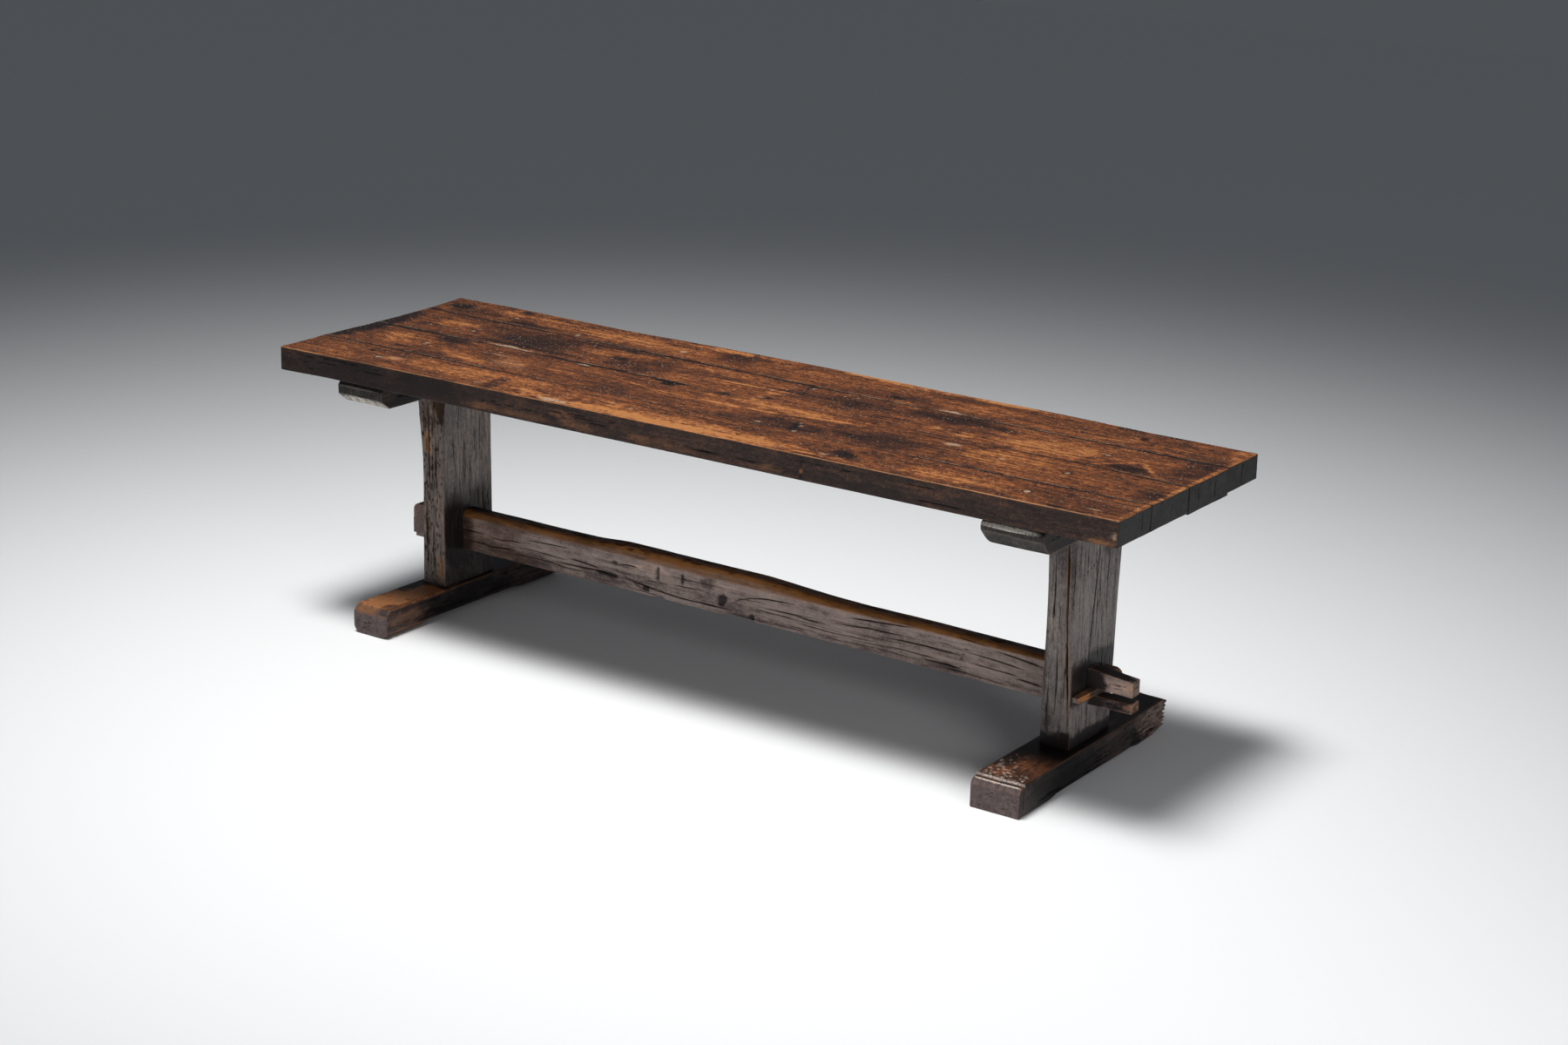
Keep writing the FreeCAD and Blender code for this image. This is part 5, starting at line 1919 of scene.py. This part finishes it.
LEFT_FOOT_MARKS: list[Mark] = [
    *blots(Side.TOP, (
        (-950, -245, 62, 150, 1.2, 0, 0, 0, 0.9, 0.6), (-948, 270, 46, 70, 0.2), (-975, -160, 20, 60, -0.5),
        (-948, -104, 70, 16, -1.0), (-948, 80, 70, 190, -0.8), (-948, -349, 60, 9, -0.9))),
    *cracks(Side.TOP, 2.2, 1.0, ((-901, -335), (-902, -220), (-901, -105)), rim=0.6),
    *blots(Side.RIGHT, (
        (-260, 10, 100, 8, 0.3, 0, 0, 0, 0.6, 0.55), (-275, 45, 70, 24, 0.3, 0, 0, 0, 0.7, 0.25),
        (0, 40, 180, 40, -0.5))),
    *strays((Side.RIGHT, 36, 24, (-330, 10), (300, 70), (40, 170), (1.2, 3.0)),
            (Side.LEFT, 37, 24, (-330, 10), (300, 70), (40, 170), (1.2, 3.0)),
            (Side.FRONT, 38, 8, (-1000, 14), (-930, 56), (20, 50), (0.8, 1.6)))]


def left_trestle() -> Trestle:
    """The left end's timbers, with the foot that has a plain bevel and a stopped chamfer on the post.

    Returns:
        The trestle.
    """
    bearer = Bearer("left_bearer", 61, 676.0, 155.0, 64.0, arris=4.5, centre_x=-987.0, nose_rise=25.0,
                    nose_bow=3.0, worn_corner=4.0)
    levels = (PostLevel(80, -948, 82, -97, 103), PostLevel(430, -946.5, 73, -99, 101),
              PostLevel(622, -957, 86, -103, 104))
    post = Post("left_post", 67, 550.0, 204.0, 80.0, levels=levels,
                chamfer=((-964.0, -103.0, 626.0), (-914.0, -80.0, 626.0), (-912.2, -101.2, 532.0)))
    foot = Foot("left_foot", 73, 727.0, 120.0, 80.0, steps=(2.6, 3.0, 2.4), arris=9.0, end_arris=4.0,
                fine_across=(16.0, 104.0), centre_x=-948.0, front_y=-357.5, low_arris=27.0, bevel=18.0)
    return Trestle("left", bearer, post, foot, LEFT_BEARER_MARKS, LEFT_POST_MARKS, LEFT_FOOT_MARKS)


STRETCHER_MARKS: list[Mark] = [
    # Strong, plain and thin checks of the near face
    *cracks(
        Side.FRONT, 4.4, 5.0,
        ((-890, 198), (-830, 199), (-810, 195), (-780, 199), (-720, 202)),
        ((-595, 200), (-510, 201), (-430, 204), (-400, 200), (-370, 197)),
        ((-545, 217), (-500, 216), (-430, 211)),
        ((-375, 202), (-300, 196), (-270, 192), (-220, 187), (-170, 184), (0, 186)),
        ((350, 243), (430, 249), (540, 258)), ((460, 216), (580, 219), (690, 217)),
        ((560, 184), (640, 185), (690, 181)), ((700, 205), (780, 202), (850, 199)),
        ((700, 230), (760, 227), (860, 220)), ((780, 250), (840, 245), (910, 237)),
        ((830, 194), (870, 191), (910, 188))),
    *cracks(
        Side.FRONT, 3.3, 3.6,
        ((-905, 226), (-860, 227), (-830, 227)), ((-815, 223), (-765, 221), (-745, 226), (-700, 227)),
        ((-740, 192), (-650, 194), (-600, 194), (-560, 189), (-460, 191)),
        ((-370, 210), (-330, 200), (-300, 185), (-285, 176)), ((-283, 203), (-275, 210), (-205, 212)),
        ((-370, 235), (-340, 239), (-310, 238)), ((-15, 197), (20, 220), (60, 232), (100, 238), (190, 243)),
        ((100, 213), (190, 215), (230, 211), (290, 212)), ((300, 221), (370, 223), (410, 228), (520, 230)),
        ((60, 201), (80, 204), (190, 204)), ((190, 196), (310, 193), (430, 197)),
        ((450, 195), (540, 194), (620, 193)), ((620, 176), (700, 175), (830, 169)),
        ((660, 263), (710, 260), (760, 256))),
    *cracks(
        Side.FRONT, 2.3, 2.4,
        ((-690, 239), (-620, 242), (-525, 246)), ((-720, 213), (-650, 214), (-580, 214)),
        ((420, 183), (480, 181), (540, 180)), ((130, 178), (180, 178), (230, 178)),
        ((280, 176), (350, 178), (420, 179)), ((620, 240), (655, 235), (690, 230)),
        ((705, 258), (690, 226), (675, 195))),
    # Knots, hollows and stains of the near face, the top and the right end
    *blots(Side.FRONT, (
        (-385, 236, 10, 6, -0.5, 0, 1.0), (-243, 236, 5.5, 19, -1.2, 0, 3.0),
        (-160, 238, 3.6, 19, -0.9, 0, 2.0), (-35, 208, 13, 17, -1.2, 0, 4.0),
        (-265, 243, 66, 19, 0.3, 0.25), (-405, 200, 36, 6, -0.9), (-280, 185, 12, 7, -0.9),
        (60, 180, 5, 8, -1.2, 0, 3.0), (-904, 220, 30, 110, -0.6, 0, 0, 0, 0.25),
        (-740, 186, 90, 22, -0.1, 0, 0, 0, 0.5, 0.1), (-800, 215, 150, 80, -0.15, 0, 0, 0, 0.5, 0.12),
        (1105, 185, 50, 15, -0.7), (-30, 245, 50, 14, 0.2, 0.25), (-700, 186, 130, 22, -0.25),
        (-430, 190, 80, 20, -0.3), (-80, 245, 26, 20, -0.3), (500, 175, 400, 10, -0.2),
        (1046, 215, 26, 60, -1.5), (1112, 232, 30, 22, 0.3, 0, 0, 0, 0.6, 0.12),
        (1138, 236, 10, 24, 0.3, 0, 0, 0, 0.6, 0.4), (1134, 188, 12, 8, 0.3, 0, 0, 0, 0.6, 0.6))),
    *blots(Side.TOP, ((1080, 3, 66, 26, -1.5), (100, 8, 900, 60, 0.4), (-880, 3, 40, 40, -0.6))),
    *blots(Side.RIGHT, ((3, 230, 22, 30, 0.3, 0.2), (3, 184, 22, 14, 0.3, 0, 0, 0, 0.6, 0.4))),
    *strays((Side.FRONT, 42, 16, (-900, 172), (640, 250), (90, 260), (1.2, 1.7)),
            (Side.BACK, 43, 110, (-900, 170), (780, 262), (60, 260), (1.2, 3.0)),
            (Side.TOP, 44, 40, (-900, -14), (780, 24), (60, 240), (1.0, 2.4)),
            (Side.UNDER, 45, 24, (-900, -16), (780, 22), (60, 240), (1.0, 2.4)),
            (Side.FRONT, 46, 14, (1035, 175), (1100, 256), (20, 60), (1.0, 1.8)),
            (Side.RIGHT, 47, 8, (-12, 176), (8, 255), (8, 18), (0.9, 1.6)),
            (Side.RIGHT, 48, 16, (-16, 173), (8, 195), (8, 22), (1.8, 3.4)))]


@dataclass
class Stretcher:
    """The long beam on edge, with a forked tenon at each end."""

    right_face: float = 1028.65
    left_face: float = -987.05
    right_end: float = 1145.5
    left_end: float = -1087.8
    near: float = -16.0
    far: float = 22.0
    low: float = 171.0
    high: float = 263.0
    right_floor: float = 198.0
    left_floor: float = 194.0
    slot: float = 17.0
    slot_end: float = 14.0
    taper: float = 12.0
    straight: float = 40.0
    bury: float = 60.0

    def prong(self, name: str, seed: int, face: float, end: float, root: Pair, tip: Pair,
              bend: Pair) -> Block:
        """One prong of a fork.

        Args:
            name: Name of the prong.
            seed: Fixes its wear.
            face: Outer face of the post.
            end: End of the tenon.
            root: Bottom and top at the post.
            tip: Bottom and top at the end.
            bend: Bottom and top where the slot starts to close.

        Returns:
            The prong, which starts inside the post.
        """
        way = 1.0 if end > face else -1.0
        stops = ((face - self.bury * way, root), (face, root), (face + self.straight * way, bend), (end, tip))
        if way < 0.0:
            stops = stops[::-1]
        sections = tuple((x, (self.near, z[0]), (self.far, z[1])) for x, z in stops)
        length = abs(end - face) + self.bury
        return Block(name, seed, length, self.far - self.near, root[1] - root[0], Grain.ALONG_X,
                     (3.6, 2.4, 2.2), arris=2.6, end_arris=3.0, ripple=0.6, fibre=0.2, wear=0.6,
                     end_sides=(Side.LEFT, Side.RIGHT), sections=sections)

    def prongs(self) -> list[Block]:
        """The four prongs.

        Returns:
            Lower and upper prong at the right, then at the left.
        """
        bend_drop = self.taper * self.straight / (self.right_end - self.right_face)
        right, left = (self.right_face, self.right_end), (self.left_face, self.left_end)
        right_roof, left_roof = self.right_floor + self.slot, self.left_floor + self.slot
        right_tip, left_tip = self.right_floor + self.slot_end, self.left_floor + self.slot_end
        lower_right, lower_left = (self.low, self.right_floor), (self.low, self.left_floor)
        return [
            self.prong("right_lower_prong", 81, *right, lower_right, lower_right, lower_right),
            self.prong("right_upper_prong", 82, *right, (right_roof, self.high),
                       (right_tip, self.high - self.taper), (right_roof, self.high - bend_drop)),
            self.prong("left_lower_prong", 83, *left, lower_left, lower_left, lower_left),
            self.prong("left_upper_prong", 84, *left, (left_roof, self.high), (left_tip, self.high),
                       (left_roof, self.high))]

    def build(self, finishes: Finishes) -> None:
        """Makes the beam and its prongs as one piece.

        Args:
            finishes: The table's finishes.
        """
        beam = Beam("stretcher_beam", 79, 1868.0, 50.0, 108.0)
        box = node_box("stretcher")
        box[1][2] += beam.crown + beam.swell
        whole = Surface.joined([timber.shape(STRETCHER_MARKS, box) for timber in [beam] + self.prongs()])
        dress(whole, "stretcher_checked", ("stretcher",), FRAME_BODY, finishes.stretcher)


@dataclass
class ForkWedge:
    """A headed wedge that lies in a fork and draws the stretcher tight against the post."""

    name: str
    seed: int
    face: float
    floor: float
    way: float
    head_way: float
    head: float
    head_height: float
    lean: float
    middle: float = 3.0
    tip_reach: float = 97.6
    root_reach: float = 22.0
    setback: float = 15.0
    tip: Pair = (16.0, 14.0)
    root: Pair = (26.0, 16.5)
    head_thickness: float = 48.6
    head_lift: float = 14.0
    head_gap: float = 0.4
    tongue_grid: Pair = (24.0, 16.0)
    tip_rub: float = 26.0
    round: float = 20.0

    def blocks(self) -> list[Block]:
        """The tongue and the head.

        Returns:
            Both blocks, in the table's frame.
        """
        root_y = self.middle + self.head_way * self.root_reach
        tip_y = self.middle - self.head_way * self.tip_reach
        head_y = root_y + self.head_way * self.head
        tongue_end = head_y - self.head_way * self.setback
        sections = []
        for y, (thick, high) in ((tip_y, self.tip), (root_y, self.root), (tongue_end, self.root)):
            sides = sorted((self.face, self.face + self.way * thick))
            sections.append((y, (sides[0], self.floor), (sides[1], self.floor + high)))
        head_sides = sorted((self.face, self.face + self.way * self.head_thickness))
        low, high = self.floor + self.head_lift, self.floor + self.head_height - self.head_gap
        head_sections = [(y, (head_sides[0], low), (head_sides[1], high)) for y in (root_y, head_y)]
        order = 1 if self.head_way > 0.0 else -1
        shared = {"grain": Grain.ALONG_Y, "top_side": Side.TOP, "end_sides": (Side.FRONT, Side.BACK),
                  "lean": self.lean, "lean_from": self.floor, "lean_way": self.way}
        tongue = Block(f"{self.name}_tongue", self.seed, abs(tongue_end - tip_y), *self.tongue_grid,
                       steps=(2.4, 1.5, 1.4), arris=1.6, end_arris=1.5, ripple=0.3, fibre=0.15, wear=0.6,
                       sections=tuple(sections[::order]), **shared)
        head = Block(f"{self.name}_head", self.seed + 1, self.head, self.head_thickness, high - low,
                     steps=(1.6, 1.6, 1.6), arris=3.0, end_arris=3.0, ripple=0.7, fibre=0.25, wear=0.7,
                     sections=tuple(head_sections[::order]), outer_round=self.round, **shared)
        return [tongue, head]

    def build(self, finishes: Finishes) -> None:
        """Makes the wedge as one piece on its own body.

        Args:
            finishes: The table's finishes.
        """
        node = self.name
        low, high = self.floor, self.floor + self.head_height
        marks = strays((Side.FRONT, self.seed + 2, 3, (self.face - 20, low + 4), (self.face + 20, high - 6),
                        (14, 34), (0.9, 1.7)))
        tip_y = self.middle - self.head_way * (self.tip_reach - self.tip_rub)
        marks += blots(Side.RIGHT, ((tip_y, low + 8, 30, 14, 0.75),))
        marks += blots(Side.TOP, ((self.face + 8.0 * self.way, tip_y, 16, 30, 0.6),))
        whole = Surface.joined([block.shape(marks, node_box(node)) for block in self.blocks()])
        dress(whole, f"{node}_riven", (node,), node, finishes.wedge)


@dataclass
class Studio:
    """A plain pale floor, soft light from above the front, and the camera."""

    floor_half: float = 14.0
    camera_place: Triple = (3.87781741, -5.5184538, 2.48999279)
    camera_right: Triple = (0.82301088, 0.56745159, 0.02553013)
    camera_up: Triple = (-0.18667412, 0.22774937, 0.95565841)
    camera_back: Triple = (0.53647541, -0.79128308, 0.29336874)
    lens: float = 63.587
    sensor: float = 36.0

    def build(self) -> None:
        """Sets up the floor, the world, the lamps and the camera."""
        self.floor()
        self.world()
        self.lamp("key", place=(-0.8, -1.9, 11.0), aim=(0.1, -0.5, 0.0), size=(3.8, 2.6), power=98.0,
                  spread=48.0)
        self.lamp("side_fill", place=(3.8, -1.9, 1.5), aim=(0.4, 0.0, 0.35), size=(1.6, 1.6), power=26.0)
        self.camera()
        bpy.context.scene.view_settings.view_transform = "Standard"

    def floor(self) -> None:
        """Lays the floor, pale with a faint unevenness."""
        half = self.floor_half
        mesh = bpy.data.meshes.new("studio_floor")
        corners = [(-half, -half, 0), (half, -half, 0), (half, half, 0), (-half, half, 0)]
        mesh.from_pydata(corners, [], [(0, 1, 2, 3)])
        made = linked("studio_floor", mesh)
        sheet = Sheet("pale_floor")
        haze = sheet.noise(sheet.object_places(), (0.9, 0.9, 0.9), 2.0, 0.5)
        shade = sheet.ramp(haze, [(0.3, (0.86, 0.86, 0.86)), (0.7, (0.9, 0.9, 0.9))])
        watched = sheet.node("ShaderNodeLightPath").outputs["Is Camera Ray"]
        colour = sheet.blend(watched, shade, (0.98, 0.985, 0.985))
        mesh.materials.append(sheet.coat({"Base Color": colour, "Roughness": 0.8, "Specular IOR Level": 0.2}))

    @staticmethod
    def world() -> None:
        """Fills the room with a weak even light."""
        world = bpy.data.worlds.new("studio_room")
        world.use_nodes = True
        back = world.node_tree.nodes["Background"]
        back.inputs["Color"].default_value = (0.075, 0.081, 0.089, 1.0)
        back.inputs["Strength"].default_value = 1.0
        bpy.context.scene.world = world

    @staticmethod
    def lamp(name: str, place: Triple, aim: Triple, size: Pair, power: float, spread: float = 180.0) -> None:
        """Hangs one soft lamp.

        Args:
            name: Name of the lamp.
            place: Where it hangs.
            aim: Point that it shines at.
            size: Width and height of its face.
            power: Its power in watts.
            spread: Angle that its light fans out to, in degrees.
        """
        light = bpy.data.lights.new(name, "AREA")
        light.spread = math.radians(spread)
        light.shape = "RECTANGLE"
        light.size, light.size_y = size
        light.energy = power
        made = linked(name, light)
        made.location = place
        made.rotation_euler = (Vector(aim) - Vector(place)).to_track_quat("-Z", "Y").to_euler()

    def camera(self) -> None:
        """Stands the camera where the photograph was taken from."""
        lens = bpy.data.cameras.new("camera")
        lens.sensor_fit = "HORIZONTAL"
        lens.sensor_width = self.sensor
        lens.lens = self.lens
        made = linked("camera", lens)
        axes = (self.camera_right, self.camera_up, self.camera_back, self.camera_place)
        made.matrix_world = Matrix([[axis[row] for axis in axes] for row in range(3)] + [[0, 0, 0, 1]])
        bpy.context.scene.camera = made


def finish_hidden(finishes: Finishes) -> None:
    """Gives the hidden tongues and tenon wedges their sawn finish.

    Args:
        finishes: The table's finishes.
    """
    for name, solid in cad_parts.items():
        if name.endswith(("_tongues", "_tenon_wedges")):
            solid.data.materials.clear()
            solid.data.materials.append(finishes.hidden)
            LOG.info("%s: sawn finish", name)


def main() -> None:
    """Builds the table and its studio."""
    logging.basicConfig(level=logging.INFO, format="%(name)s %(message)s")
    finishes = Finishes()
    Tabletop().build(finishes)
    right_trestle().build(finishes)
    left_trestle().build(finishes)
    Stretcher().build(finishes)
    ForkWedge("right_wedge", 91, face=1028.95, floor=198.2, way=1.0, head_way=1.0, head=41.0,
              head_height=53.8, lean=-4.0 / 350.0).build(finishes)
    ForkWedge("left_wedge", 95, face=-987.35, floor=194.2, way=-1.0, head_way=-1.0, head=64.0,
              head_height=99.8, lean=6.0 / 350.0).build(finishes)
    finish_hidden(finishes)
    Studio().build()


if __name__ == "__main__":
    main()
